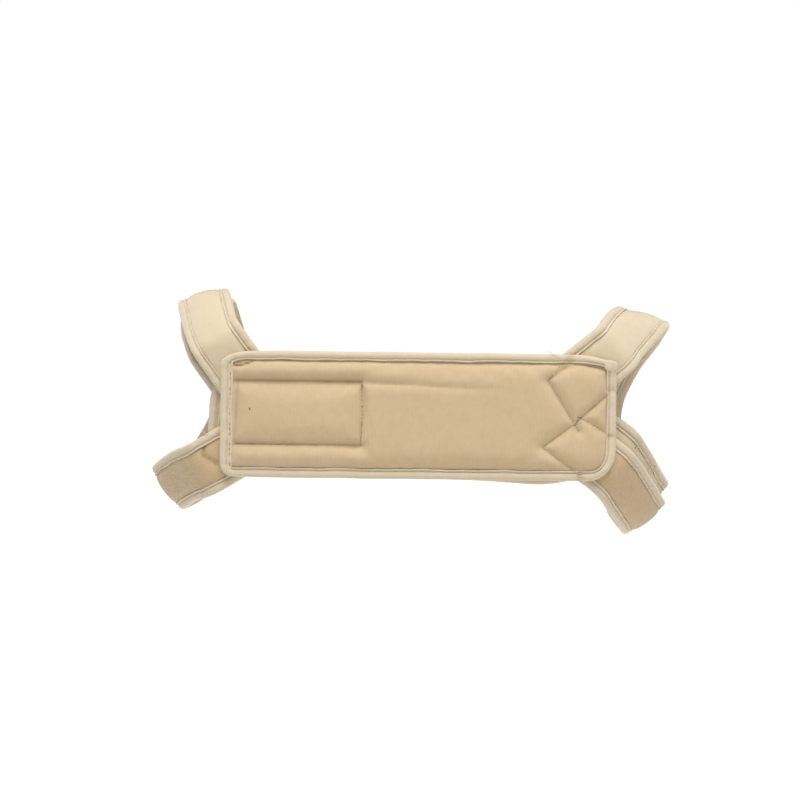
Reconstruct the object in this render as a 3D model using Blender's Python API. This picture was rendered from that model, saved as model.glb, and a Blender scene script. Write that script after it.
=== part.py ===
"""Posture corrector brace, in the shape that it takes on a wearer's shoulders.

Two padded back panels lie one on the other across the shoulder blades. Each carries the ends
of its own shoulder loop, and each loop is a long strap closed by a short one that overlaps it.
Every panel and strap has a folded tape along its edge.

Metres. +Z is up, +Y is the way the wearer faces and +X is the wearer's right. The origin is on
the body side of the inner panel, midway between the shoulder loops.
"""

import math
from collections import namedtuple

import bmesh
import bpy
from mathutils import Vector
from mathutils.geometry import delaunay_2d_cdt, intersect_point_line

# Padded cloth and edge tape
STRAP_WIDTH = 0.0515
PAD_THICKNESS = 0.006
TAPE_THICKNESS = 0.001
TAPE_REACH = 0.009
EDGE_ROUND = 0.0018
CLEARANCE = 0.0003
PATCH_THICKNESS = 0.0015
SHOULDER_SLOPE = 0.0025

# Back panels
PANEL_LENGTH = 0.351
OUTER_HEIGHT = 0.112
INNER_HEIGHT = 0.100
INNER_SHIFT = Vector((-0.0120, -0.003))
INNER_TILT = math.radians(-4.0)
OUTER_TILT = math.radians(-0.7)
LOFT = 0.0085
SEAM_HEIGHT = 0.0042
SEAM_SPREAD = 0.009

# How the panels wrap round the back: straight across the spine, then bending forward
STRAIGHT_HALF = 0.030
WRAP_DEPTH = 0.016

# The hook patch under the outer panel, and its place from the panel's left edge
HOOK_LENGTH = 0.111
HOOK_HEIGHT = 0.056
HOOK_INSET = 0.0145
HOOK_RAISE = 0.001
HOOK_MARGIN = 0.003

# Shoulder loops
LOOP_SPREAD = 0.055
LOOP_DEPTH = 0.150
LOOP_RISE = 0.055
STRAP_CAMBER = 0.0035
SEWN_GAP = 0.002
SEWN_MARGIN = 0.005
END_ROUND = 0.011
STRAP_HOOK_WIDTH = 0.034
STRAP_HOOK_GAP = 0.0008

# How finely the curved forms are cut into flat faces
FACET = 0.024
SPAN_STEPS = 16
CORNER_STEPS = 5
SEAM_STEP = 0.013
FILL_STEP = 0.024

# A panel's rounded corners as (along, up) radii: top left, bottom left, bottom right, top right
OUTER_CORNERS = ((0.015, 0.013), (0.012, 0.012), (0.024, 0.027), (0.042, 0.0125))
INNER_CORNERS = ((0.030, 0.050), (0.0125, 0.0125), (0.060, 0.030), (0.014, 0.014))

# The seams that hold the strap ends to the outer panel, as shares of its half length and half
# height: the square end of the upper strap, then of the lower strap.
STRAP_END_SEAMS = (
    ((0.766, 0.93), (0.646, 0.58), (0.786, -0.09), (0.935, 0.36)),
    ((0.935, -0.27), (0.786, -0.09), (0.620, -0.466), (0.799, -0.96)),
)

# Where each side's strap ends are sewn, in strap widths: sign is -1 left and +1 right, reach is
# how far in from the panels' end their inner corners meet, midline is the height of that point.
# slant is the strap's width line in degrees from level, and run is how far it lies flat.
Side = namedtuple("Side", "sign reach midline upper_slant upper_run lower_slant lower_run")
LEFT_SIDE = Side(-1, 0.24, 0.00, 36, 1.165, -60.5, 0.91)
RIGHT_SIDE = Side(+1, 0.56, 0.06, -52, 1.05, 53, 1.01)

# A loop's stations, from where the upper end leaves the back, over the shoulder, down the front
# and back under the arm. edge is the panels' edge that up is measured from, +1 top, -1 bottom.
# out is a share of LOOP_SPREAD past the panels' end, depth of LOOP_DEPTH towards the front, and
# up of LOOP_RISE. slant is the strap's width line, in degrees from level, seen from behind.
Station = namedtuple("Station", "edge out depth up slant")
LEFT_STATIONS = (
    Station(+1, 0.17, 0.075, 0.36, 29),
    Station(+1, 0.30, 0.200, 0.65, 20),
    Station(+1, 0.44, 0.410, 0.96, 14),
    Station(+1, 0.44, 0.650, 0.76, 17),
    Station(+1, 0.27, 0.860, 0.25, 14),
    Station(+1, 0.01, 0.985, -0.44, 5),
    Station(-1, 0.05, 1.000, 0.93, -14),
    Station(-1, 0.42, 0.870, 0.22, -34),
    Station(-1, 0.80, 0.640, -0.09, -47),
    Station(-1, 1.04, 0.390, -0.21, -52),
    Station(-1, 0.67, 0.150, 0.02, -57),
)
RIGHT_STATIONS = (
    Station(+1, 0.11, 0.070, 0.20, -46),
    Station(+1, 0.37, 0.200, 0.43, -36),
    Station(+1, 0.66, 0.390, 0.59, -12),
    Station(+1, 0.62, 0.640, 0.38, -16),
    Station(+1, 0.36, 0.840, -0.04, -16),
    Station(+1, 0.08, 0.960, -0.68, -8),
    Station(-1, 0.04, 0.985, 0.70, 6),
    Station(-1, 0.22, 0.880, 0.06, 20),
    Station(-1, 0.48, 0.680, -0.46, 29),
    Station(-1, 0.67, 0.440, -0.72, 35),
    Station(-1, 0.36, 0.190, -0.36, 41),
)

# A strap's lift off its loop's line and its shift across it, along the loop: at is a share of
# the loop's length. lift 1 puts it under the other strap, 2 under the inner panel as well.
Lay = namedtuple("Lay", "at lift shift")
LEFT_LONG_LAY = (
    Lay(0.00, 2.0, -0.13),
    Lay(0.12, 2.0, -0.13),
    Lay(0.17, 1.0, -0.10),
    Lay(0.28, 1.0, 0.08),
    Lay(0.48, 1.0, 0.00),
    Lay(0.66, 0.0, 0.00),
    Lay(1.00, 0.0, 0.00),
)
RIGHT_LONG_LAY = (
    Lay(0.00, 0.0, 0.00),
    Lay(0.50, 0.0, 0.00),
    Lay(0.62, 1.0, 0.10),
    Lay(0.74, 1.0, 0.26),
    Lay(0.86, 1.0, 0.31),
    Lay(0.91, 2.0, 0.34),
    Lay(1.00, 2.0, 0.34),
)
LEFT_LONG_START = 0.035
LEFT_SHORT_END = 0.40
RIGHT_SHORT_START = 0.66
RIGHT_LONG_END = 0.965
LEFT_HOOK = (0.19, 0.33)
RIGHT_HOOK = (0.72, 0.85)

FABRIC_COLOUR = (0.600, 0.450, 0.280, 1.0)
TAPE_COLOUR = (0.680, 0.560, 0.390, 1.0)
HOOK_COLOUR = (0.640, 0.540, 0.400, 1.0)

STRAP_LEVEL = PAD_THICKNESS + CLEARANCE
UNDER_STRAP = PAD_THICKNESS + PATCH_THICKNESS + 2 * STRAP_HOOK_GAP
UNDER_PANEL = 2 * (PAD_THICKNESS + CLEARANCE)


def wrap(x):
    """How far the body's back, and all that lies on it, has bent forward at x."""
    beyond = max(0.0, abs(x) - STRAIGHT_HALF)
    return WRAP_DEPTH * (beyond / (PANEL_LENGTH / 2 - STRAIGHT_HALF)) ** 2


def bent(x, height, z):
    """The point at a height above the body, where the back is at x and z."""
    return Vector((x, wrap(x) - height, z))


def smooth(share):
    share = min(1.0, max(0.0, share))
    return share * share * (3 - 2 * share)


def material(name, colour, roughness):
    made = bpy.data.materials.new(name)
    made.use_nodes = True
    shader = made.node_tree.nodes["Principled BSDF"]
    shader.inputs["Base Color"].default_value = colour
    shader.inputs["Roughness"].default_value = roughness
    shader.inputs["Metallic"].default_value = 0.0
    return made


def add_object(name, mesh, finish, parent):
    """Closes the mesh in flat facets, points them out and places the object at its centre."""
    bmesh.ops.remove_doubles(mesh, verts=mesh.verts, dist=1e-6)
    bmesh.ops.triangulate(mesh, faces=mesh.faces[:])
    bmesh.ops.recalc_face_normals(mesh, faces=mesh.faces)
    centre = sum((v.co for v in mesh.verts), Vector()) / len(mesh.verts)
    bmesh.ops.translate(mesh, verts=mesh.verts, vec=-centre)
    data = bpy.data.meshes.new(name)
    mesh.to_mesh(data)
    mesh.free()
    data.materials.append(finish)
    data.shade_smooth()
    data.set_sharp_from_angle(angle=math.radians(35))
    thing = bpy.data.objects.new(name, data)
    thing.location = centre
    thing.parent = parent
    bpy.context.scene.collection.objects.link(thing)
    return thing


def loft(rings, closed=False):
    """A skin through rings of points, each ring closed on itself, with its two ends capped."""
    mesh = bmesh.new()
    rows = [[mesh.verts.new(point) for point in ring] for ring in rings]
    pairs = list(zip(rows, rows[1:] + rows[:1])) if closed else list(zip(rows, rows[1:]))
    for near, far in pairs:
        for i in range(len(near)):
            j = (i + 1) % len(near)
            mesh.faces.new((near[i], near[j], far[j], far[i]))
    if not closed:
        mesh.faces.new(rows[0])
        mesh.faces.new(reversed(rows[-1]))
    return mesh


def tape_profile():
    """The folded tape's section as (inset from the edge, height) points."""
    top = PAD_THICKNESS
    return (
        (TAPE_REACH, 0.0),
        (EDGE_ROUND, 0.0),
        (0.0, EDGE_ROUND),
        (0.0, top - EDGE_ROUND),
        (EDGE_ROUND, top),
        (TAPE_REACH, top),
        (TAPE_REACH, top - TAPE_THICKNESS),
        (TAPE_THICKNESS, top - TAPE_THICKNESS),
        (TAPE_THICKNESS, TAPE_THICKNESS),
        (TAPE_REACH, TAPE_THICKNESS),
    )


def pad_insets():
    """Where the padded cloth steps: inside the fold, at the tape's edge and at full thickness."""
    fold = TAPE_THICKNESS + CLEARANCE
    lip = TAPE_REACH + CLEARANCE
    return ((fold, fold), (lip, fold), (lip + SHOULDER_SLOPE, 0.0))


# Panels


class Panel:
    """A flat pattern piece laid on the back: its outline, its place and its base height."""

    def __init__(self, height, corners, shift, tilt, base):
        self.half = Vector((PANEL_LENGTH / 2, height / 2))
        self.corners = corners
        self.shift = shift
        self.tilt = tilt
        self.base = base
        count = math.ceil(PANEL_LENGTH / FACET)
        even = [PANEL_LENGTH * (i / count - 0.5) for i in range(1, count)]
        breaks = [along for along, _ in base_breaks()[1:-1]] if base is outer_base else []
        clear = [along for along in even if all(abs(along - b) > FACET / 3 for b in breaks)]
        self.stops = sorted(breaks + clear)

    def outline(self, inset):
        """The edge moved in by inset, anticlockwise, with as many points at every inset."""
        signs = ((-1, 1), (-1, -1), (1, -1), (1, 1))
        points = []
        for (along, up), (right, top) in zip(self.corners, signs):
            quarter = []
            for step in range(CORNER_STEPS + 1):
                turn = math.pi / 2 * step / CORNER_STEPS
                quarter.append(
                    Vector(
                        (
                            right * (self.half.x - along + (along - inset) * math.cos(turn)),
                            top * (self.half.y - up + (up - inset) * math.sin(turn)),
                        )
                    )
                )
            points.append(quarter if right * top > 0 else quarter[::-1])
        ring = []
        for this, following in zip(points, points[1:] + points[:1]):
            ring += this
            ring += self.between(this[-1], following[0])
        return ring[::-1] if signed_area(ring) < 0 else ring

    def between(self, start, stop):
        """The points of a straight side: at the panel's stops along it, and halfway up its ends."""
        if abs(stop.x - start.x) < abs(stop.y - start.y):
            return [start.lerp(stop, share) for share in (1 / 3, 2 / 3)]
        low, high = sorted((start.x, stop.x))
        margin = FACET / 5
        inside = [along for along in self.stops if low + margin < along < high - margin]
        return [Vector((along, start.y)) for along in (inside if stop.x > start.x else inside[::-1])]

    def pattern(self, x, z):
        """The point of the flat pattern that lies at x and z on the back."""
        turn = complex(x - self.shift.x, z - self.shift.y)
        turn *= complex(math.cos(self.tilt), -math.sin(self.tilt))
        return Vector((turn.real, turn.imag))

    def lay(self, along, up, height):
        """The place on the back of a point of the flat pattern, at a height above its base."""
        turn = complex(along, up) * complex(math.cos(self.tilt), math.sin(self.tilt))
        x, z = turn.real + self.shift.x, turn.imag + self.shift.y
        return bent(x, self.base(along) + height, z)


def signed_area(ring):
    return sum(a.x * b.y - b.x * a.y for a, b in zip(ring, ring[1:] + ring[:1])) / 2


def inner_base(along):
    return 0.0


def base_breaks():
    """The outer panel's body side as (along, height): over the strap ends, down, then up."""
    end = PANEL_LENGTH / 2
    slope = math.cos(math.radians(LEFT_SIDE.upper_slant))
    left_ends = -end + (LEFT_SIDE.reach + slope) * STRAP_WIDTH
    slope = math.cos(math.radians(RIGHT_SIDE.upper_slant))
    right_ends = end - (RIGHT_SIDE.reach + slope) * STRAP_WIDTH
    over_ends = STRAP_LEVEL + PAD_THICKNESS + CLEARANCE
    over_patch = PATCH_THICKNESS + CLEARANCE
    middle = PAD_THICKNESS + CLEARANCE + over_patch
    return (
        (-end, over_ends + over_patch),
        (left_ends + SEWN_MARGIN, over_ends + over_patch),
        (left_ends + STRAP_WIDTH, middle),
        (right_ends - STRAP_WIDTH, middle),
        (right_ends - SEWN_MARGIN, over_ends),
        (end, over_ends),
    )


def outer_base(along):
    breaks = base_breaks()
    for (start, low), (stop, high) in zip(breaks, breaks[1:]):
        if along <= stop:
            return low + (high - low) * max(0.0, along - start) / (stop - start)
    return breaks[-1][1]


def hook_box():
    """The hook patch's left, right, bottom and top on the outer panel's pattern."""
    left = -PANEL_LENGTH / 2 + HOOK_INSET
    return left, left + HOOK_LENGTH, HOOK_RAISE - HOOK_HEIGHT / 2, HOOK_RAISE + HOOK_HEIGHT / 2


def outer_seams():
    """The seams that show on the outer panel, each a run of pattern points."""
    left, right, bottom, top = hook_box()
    corners = ((left, bottom), (right, bottom), (right, top), (left, top), (left, bottom))
    runs = [[Vector(corner) for corner in corners]]
    for seam in STRAP_END_SEAMS:
        half = Vector((PANEL_LENGTH / 2, OUTER_HEIGHT / 2))
        inside = TAPE_REACH + SHOULDER_SLOPE
        most = Vector((half.x - inside, half.y - inside))
        run = [Vector((share[0] * half.x, share[1] * half.y)) for share in seam]
        runs.append([clipped(point, most) for point in run])
    return runs


def clipped(point, most):
    return Vector((max(-most.x, min(most.x, point.x)), max(-most.y, min(most.y, point.y))))


def seam_distance(point, runs):
    nearest = math.inf
    for run in runs:
        for start, stop in zip(run, run[1:]):
            foot, share = intersect_point_line(point, start, stop)
            foot = start if share < 0 else stop if share > 1 else foot
            nearest = min(nearest, (foot.to_2d() - point).length)
    return nearest


def lay_points(panel, runs):
    """The pattern's points, and the edges that its faces have to keep."""
    points, edges = [], []

    def add_run(run, closed=False):
        first = len(points)
        points.extend(run)
        last = len(points) - 1
        edges.extend((i, i + 1) for i in range(first, last))
        if closed:
            edges.append((last, first))

    for inset, _ in pad_insets():
        add_run(panel.outline(inset), closed=True)
    inside = TAPE_REACH + SHOULDER_SLOPE
    most = Vector((panel.half.x - inside, panel.half.y - inside))
    if panel.base is outer_base:
        rise = panel.half.y - pad_insets()[0][0]
        for along, _ in base_breaks()[1:-1]:
            steps = math.ceil(2 * rise / SEAM_STEP)
            add_run([Vector((along, rise * (2 * i / steps - 1))) for i in range(steps + 1)])
    else:
        for x in (-STRAIGHT_HALF, STRAIGHT_HALF):
            add_run([panel.pattern(x, -INNER_HEIGHT / 3), panel.pattern(x, INNER_HEIGHT / 3)])
    for run in runs:
        for start, stop in zip(run, run[1:]):
            steps = max(1, round((stop - start).length / SEAM_STEP))
            add_run([start.lerp(stop, i / steps) for i in range(steps + 1)])
            side = Vector((start.y - stop.y, stop.x - start.x)).normalized() * SEAM_SPREAD / 2
            for i in range(steps):
                middle = start.lerp(stop, (i + 0.5) / steps)
                for beside in (middle + side, middle - side):
                    inside_edge = clipped(beside, most) == beside
                    if inside_edge and seam_distance(beside, runs) > 0.4 * SEAM_SPREAD:
                        points.append(beside)
    rows = math.ceil(2 * most.y / FILL_STEP)
    columns = math.ceil(2 * most.x / FILL_STEP)
    for row in range(1, rows):
        for column in range(1, columns):
            point = Vector((-most.x + 2 * most.x * column / columns, -most.y + 2 * most.y * row / rows))
            if not runs or seam_distance(point, runs) > SEAM_SPREAD:
                points.append(point)
    return points, edges


def edge_distance(panel, point):
    """Roughly how far in from the panel's edge a pattern point lies."""
    return min(panel.half.x - abs(point.x), panel.half.y - abs(point.y))


def pad_heights(panel, point, runs):
    """The body side and the outer side of the padding at a pattern point."""
    (_, fold), (lip, _), (full, _) = pad_insets()
    ring_share = inset_share(panel, point, lip, full)
    low = fold * (1 - ring_share)
    high = PAD_THICKNESS - fold + fold * ring_share
    if runs:
        puff = smooth((edge_distance(panel, point) - full) / SEAM_SPREAD)
        sewn = smooth(seam_distance(point, runs) / SEAM_SPREAD)
        lofted = SEAM_HEIGHT + (LOFT - SEAM_HEIGHT) * sewn
        high += (lofted - high) * puff * ring_share
    return low, high


def inset_share(panel, point, lip, full):
    """0 at the tape's edge or outside it, 1 where the padding has its full thickness."""
    if inside_ring(point, panel.outline(full - 1e-5)):
        return 1.0
    return 0.0


def inside_ring(point, ring):
    """Whether a point is inside a convex ring that runs anticlockwise."""
    for a, b in zip(ring, ring[1:] + ring[:1]):
        if (b.x - a.x) * (point.y - a.y) - (b.y - a.y) * (point.x - a.x) < 0:
            return False
    return True


def make_pad(name, panel, runs, finish, parent):
    """The padded cloth of a panel: one triangulated pattern, laid twice and closed at its edge."""
    points, edges = lay_points(panel, runs)
    flat, _, faces, *_ = delaunay_2d_cdt(points, edges, [], 0, 1e-5)
    mesh = bmesh.new()
    heights = [pad_heights(panel, point, runs) for point in flat]
    low = [mesh.verts.new(panel.lay(p.x, p.y, h[0])) for p, h in zip(flat, heights)]
    high = [mesh.verts.new(panel.lay(p.x, p.y, h[1])) for p, h in zip(flat, heights)]
    used = {}
    for face in faces:
        mesh.faces.new([high[i] for i in face])
        mesh.faces.new([low[i] for i in reversed(face)])
        for i, j in zip(face, face[1:] + face[:1]):
            used[(i, j)] = used.get((i, j), 0) + 1
    for i, j in used:
        if (j, i) not in used:
            mesh.faces.new((high[j], high[i], low[i], low[j]))
    return add_object(name, mesh, finish, parent)


def make_panel_tape(name, panel, finish, parent):
    rings = [
        [panel.lay(point.x, point.y, height) for point in panel.outline(inset)]
        for inset, height in tape_profile()
    ]
    return add_object(name, loft(rings, closed=True), finish, parent)


def make_hook_patch(parent, panel, finish):
    """The patch sewn under the outer panel, which grips the inner panel and the strap ends."""
    left, right, bottom, top = hook_box()
    left, right = left + HOOK_MARGIN, right - HOOK_MARGIN
    bottom, top = bottom + HOOK_MARGIN, top - HOOK_MARGIN
    breaks = [along for along, _ in base_breaks() if left < along < right]
    steps = math.ceil((right - left) / FACET)
    stops = sorted(breaks + [left + (right - left) * i / steps for i in range(steps + 1)])
    high, low = -CLEARANCE, -CLEARANCE - PATCH_THICKNESS
    rings = [
        [panel.lay(x, bottom, low), panel.lay(x, top, low), panel.lay(x, top, high), panel.lay(x, bottom, high)]
        for x in stops
    ]
    return add_object("panel_hook_patch", loft(rings), finish, parent)


# Straps


class Loop:
    """The line that a shoulder loop's outer strap lies on, as frames a facet apart."""

    def __init__(self, stations, side):
        upper, lower = sewn_rows(side, +1), sewn_rows(side, -1)
        rows = [*upper, *(station_row(side, station) for station in stations), *reversed(lower)]
        fine = spline(rows)
        lengths = [0.0]
        for near, far in zip(fine, fine[1:]):
            lengths.append(lengths[-1] + (far - near).xyz.length)
        self.length = lengths[-1]
        count = math.ceil(self.length / FACET)
        self.step = self.length / count
        self.frames = []
        for k in range(count + 1):
            at = resampled(fine, lengths, k * self.step)
            before = resampled(fine, lengths, max(0.0, (k - 0.4) * self.step))
            after = resampled(fine, lengths, min(self.length, (k + 0.4) * self.step))
            tangent = (after - before).xyz.normalized()
            across = Vector((math.cos(at.w), 0.0, math.sin(at.w)))
            across = (across - tangent * across.dot(tangent)).normalized()
            camber = STRAP_CAMBER * smooth((at.y + STRAP_LEVEL) / LOOP_DEPTH * 4)
            self.frames.append((at.xyz, across, across.cross(tangent), camber))

    def lay(self, along, across, height):
        """The place of a point along, across and above the loop's line, in flat facets."""
        k = min(int(along / self.step), len(self.frames) - 2)
        share = along / self.step - k
        ends = []
        for centre, width, out, camber in self.frames[k : k + 2]:
            drop = camber * (across / (STRAP_WIDTH / 2)) ** 2
            ends.append(centre + width * across + out * (height - drop))
        point = ends[0].lerp(ends[1], share)
        return Vector((point.x, point.y + wrap(point.x), point.z))


def station_row(side, station):
    height = station.edge * OUTER_HEIGHT / 2 + station.up * LOOP_RISE
    x = side.sign * (PANEL_LENGTH / 2 + station.out * LOOP_SPREAD)
    slant = math.radians(station.slant)
    return Vector((x, station.depth * LOOP_DEPTH - STRAP_LEVEL, height, slant))


def sewn_rows(side, level):
    """A sewn strap end, whose inner corner meets the other one's, and where it leaves the back."""
    slant = math.radians(side.upper_slant if level > 0 else side.lower_slant)
    run = (side.upper_run if level > 0 else side.lower_run) * STRAP_WIDTH
    half = side.sign * STRAP_WIDTH / 2
    x = side.sign * (PANEL_LENGTH / 2 - side.reach * STRAP_WIDTH) - half * math.cos(slant)
    z = side.midline * STRAP_WIDTH + level * SEWN_GAP / 2 - half * math.sin(slant)
    end = Vector((x, -STRAP_LEVEL, z, slant))
    step = Vector((-math.sin(slant), 0.0, math.cos(slant), 0.0)) * level
    return [end + step * run * share for share in (0.0, 0.5, 1.0)]


def spline(rows):
    """A smooth line through the rows, with a few steps in each span."""
    points = [2 * rows[0] - rows[1], *rows, 2 * rows[-1] - rows[-2]]
    line = []
    for before, start, stop, after in zip(points, points[1:], points[2:], points[3:]):
        for i in range(SPAN_STEPS):
            t = i / SPAN_STEPS
            curve = 2 * before - 5 * start + 4 * stop - after
            twist = 3 * start - before - 3 * stop + after
            point = (2 * start + (stop - before) * t + curve * t**2 + twist * t**3) / 2
            point.y = max(point.y, -STRAP_LEVEL)
            line.append(point)
    line.append(rows[-1])
    return line


def resampled(line, lengths, at):
    for k in range(1, len(line)):
        if lengths[k] >= at or k == len(line) - 1:
            share = (at - lengths[k - 1]) / (lengths[k] - lengths[k - 1])
            return line[k - 1].lerp(line[k], min(1.0, share))


class Strap:
    """A padded strap on a loop, from its sewn end to its rounded free end."""

    def __init__(self, loop, sewn, free, lays=()):
        self.loop = loop
        self.sewn = sewn * loop.length
        self.free = free * loop.length
        self.forward = 1 if self.free > self.sewn else -1
        self.lays = lays

    def laid(self, along):
        """How far under its loop's line the strap lies, and how far it is shifted across."""
        at = along / self.loop.length
        for before, after in zip(self.lays, self.lays[1:]):
            if at <= after.at:
                share = smooth((at - before.at) / (after.at - before.at))
                lift = before.lift + (after.lift - before.lift) * share
                shift = before.shift + (after.shift - before.shift) * share
                under = UNDER_STRAP * min(lift, 1) + (UNDER_PANEL - UNDER_STRAP) * max(0, lift - 1)
                return -under, shift * STRAP_WIDTH
        return 0.0, 0.0

    def lay(self, along, across, height):
        under, shift = self.laid(along)
        return self.loop.lay(along, across + shift, height + under)

    def stops(self):
        """The places of the loop's facets that the strap passes, from its sewn end."""
        step = self.loop.step
        reach = self.free - self.forward * (END_ROUND + TAPE_THICKNESS)
        inner = [
            k * step
            for k in range(len(self.loop.frames))
            if min(self.sewn, reach) + step / 4 < k * step < max(self.sewn, reach) - step / 4
        ]
        return [self.sewn, *(inner if self.forward > 0 else inner[::-1]), reach]

    def outline(self, inset):
        """The edge moved in by inset as (along, across): up one side, round the end and back."""
        side = [(along, STRAP_WIDTH / 2 - inset) for along in self.stops()]
        radius = END_ROUND - inset
        for step in range(1, CORNER_STEPS + 1):
            turn = math.pi / 2 * step / CORNER_STEPS
            along = self.free + self.forward * (radius * math.sin(turn) - END_ROUND)
            side.append((along, STRAP_WIDTH / 2 - END_ROUND + radius * math.cos(turn)))
        end = [(self.free - self.forward * inset, 0.0)]
        return side + end + [(along, -across) for along, across in reversed(side)]


def make_strap(name, strap, finish, parent):
    """The padded cloth of a strap: sections from edge to edge that close up at the free end."""
    insets = pad_insets()
    rows = [(strap.outline(inset), fold) for inset, fold in insets]
    half = len(rows[0][0]) // 2
    rings = []
    for i in range(half + 1):
        over = [(outline[i], fold) for outline, fold in rows]
        over.append(((rows[-1][0][i][0], 0.0), 0.0))
        over += [(outline[-1 - i], fold) for outline, fold in reversed(rows)]
        top = [strap.lay(*place, PAD_THICKNESS - fold) for place, fold in over]
        bottom = [strap.lay(*place, fold) for place, fold in over]
        rings.append(top + bottom[::-1])
    mesh = bmesh.new()
    grid = [[mesh.verts.new(point) for point in ring] for ring in rings]
    for near, far in zip(grid, grid[1:]):
        for i in range(len(near)):
            j = (i + 1) % len(near)
            mesh.faces.new((near[i], near[j], far[j], far[i]))
    mesh.faces.new(grid[0])
    bmesh.ops.remove_doubles(mesh, verts=mesh.verts, dist=1e-6)
    bmesh.ops.dissolve_degenerate(mesh, edges=mesh.edges, dist=1e-6)
    return add_object(name, mesh, finish, parent)


def make_strap_tape(name, strap, finish, parent):
    outlines = [(strap.outline(inset), height) for inset, height in tape_profile()]
    rings = [
        [strap.lay(*outline[i], height) for outline, height in outlines]
        for i in range(len(outlines[0][0]))
    ]
    return add_object(name, loft(rings), finish, parent)


def make_strap_hook(name, loop, shares, finish, parent):
    """The patch between a short strap and the long strap that it overlaps."""
    first, last = (share * loop.length for share in shares)
    inner = [k * loop.step for k in range(len(loop.frames)) if first < k * loop.step < last]
    high, low = -STRAP_HOOK_GAP, -STRAP_HOOK_GAP - PATCH_THICKNESS
    across = [STRAP_HOOK_WIDTH * share for share in (-0.5, -0.25, 0.0, 0.25, 0.5)]
    corners = [(place, low) for place in across] + [(place, high) for place in reversed(across)]
    rings = [
        [loop.lay(along, across, height) for across, height in corners]
        for along in [first, *inner, last]
    ]
    return add_object(name, loft(rings), finish, parent)


def make_brace():
    for thing in list(bpy.data.objects):
        bpy.data.objects.remove(thing)
    fabric = material("padded_fabric", FABRIC_COLOUR, 0.9)
    tape = material("edge_tape", TAPE_COLOUR, 0.85)
    hook = material("hook_tape", HOOK_COLOUR, 0.8)
    brace = bpy.data.objects.new("brace", None)
    bpy.context.scene.collection.objects.link(brace)

    inner = Panel(INNER_HEIGHT, INNER_CORNERS, INNER_SHIFT, INNER_TILT, inner_base)
    outer = Panel(OUTER_HEIGHT, OUTER_CORNERS, Vector((0.0, 0.0)), OUTER_TILT, outer_base)
    make_pad("inner_panel", inner, [], fabric, brace)
    make_panel_tape("inner_panel_tape", inner, tape, brace)
    make_pad("outer_panel", outer, outer_seams(), fabric, brace)
    make_panel_tape("outer_panel_tape", outer, tape, brace)
    make_hook_patch(brace, outer, hook)

    left = Loop(LEFT_STATIONS, LEFT_SIDE)
    right = Loop(RIGHT_STATIONS, RIGHT_SIDE)
    straps = {
        "left_short_strap": Strap(left, 0.0, LEFT_SHORT_END),
        "left_long_strap": Strap(left, 1.0, LEFT_LONG_START, LEFT_LONG_LAY),
        "right_long_strap": Strap(right, 0.0, RIGHT_LONG_END, RIGHT_LONG_LAY),
        "right_short_strap": Strap(right, 1.0, RIGHT_SHORT_START),
    }
    for name, strap in straps.items():
        make_strap(name, strap, fabric, brace)
        make_strap_tape(name + "_tape", strap, tape, brace)
    make_strap_hook("left_strap_hook_patch", left, LEFT_HOOK, hook, brace)
    make_strap_hook("right_strap_hook_patch", right, RIGHT_HOOK, hook, brace)


make_brace()
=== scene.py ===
"""Posture corrector brace: padded cloth, folded edge tape and its stitching, in a plain studio.

The pieces follow the same pattern as the solids: two back panels laid on the back, and two
shoulder loops, each a long strap closed by a short one. Lengths are in metres.
"""

import math
from collections import namedtuple

import bmesh
import bpy
import numpy as np
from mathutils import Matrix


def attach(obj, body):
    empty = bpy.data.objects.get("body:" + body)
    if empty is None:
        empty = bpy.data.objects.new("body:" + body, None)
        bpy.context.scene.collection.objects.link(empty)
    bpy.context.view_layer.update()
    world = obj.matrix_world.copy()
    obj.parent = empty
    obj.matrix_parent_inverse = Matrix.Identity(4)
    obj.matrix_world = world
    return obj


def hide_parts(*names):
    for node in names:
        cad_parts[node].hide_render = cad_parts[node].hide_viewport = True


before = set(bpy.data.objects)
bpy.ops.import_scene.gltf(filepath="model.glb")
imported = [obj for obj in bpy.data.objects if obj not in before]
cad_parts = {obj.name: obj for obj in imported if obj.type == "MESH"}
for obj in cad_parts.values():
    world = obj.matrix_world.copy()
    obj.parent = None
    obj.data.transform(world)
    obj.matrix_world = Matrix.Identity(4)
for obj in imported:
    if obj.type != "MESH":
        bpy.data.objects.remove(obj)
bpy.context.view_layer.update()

# The pattern's sizes, as in the solids but for the two places that say so
STRAP_WIDTH = 0.0515
PAD_THICKNESS = 0.006
CLEARANCE = 0.0003
PATCH_THICKNESS = 0.0015
PANEL_LENGTH = 0.351
OUTER_HEIGHT = 0.112
INNER_HEIGHT = 0.100
INNER_SHIFT = (-0.0120, -0.003)
INNER_TILT = math.radians(-4.0)
OUTER_TILT = math.radians(-0.7)
STRAIGHT_HALF = 0.030
WRAP_DEPTH = 0.016
HOOK_LENGTH = 0.111
HOOK_HEIGHT = 0.056
HOOK_INSET = 0.0145
HOOK_RAISE = 0.001
HOOK_MARGIN = 0.003
LOOP_SPREAD = 0.055
LOOP_DEPTH = 0.150
LOOP_RISE = 0.055
STRAP_CAMBER = 0.0035
SEWN_GAP = 0.002
SEWN_MARGIN = 0.005
END_ROUND = 0.011
STRAP_HOOK_WIDTH = 0.034
STRAP_HOOK_GAP = 0.0008
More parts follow.
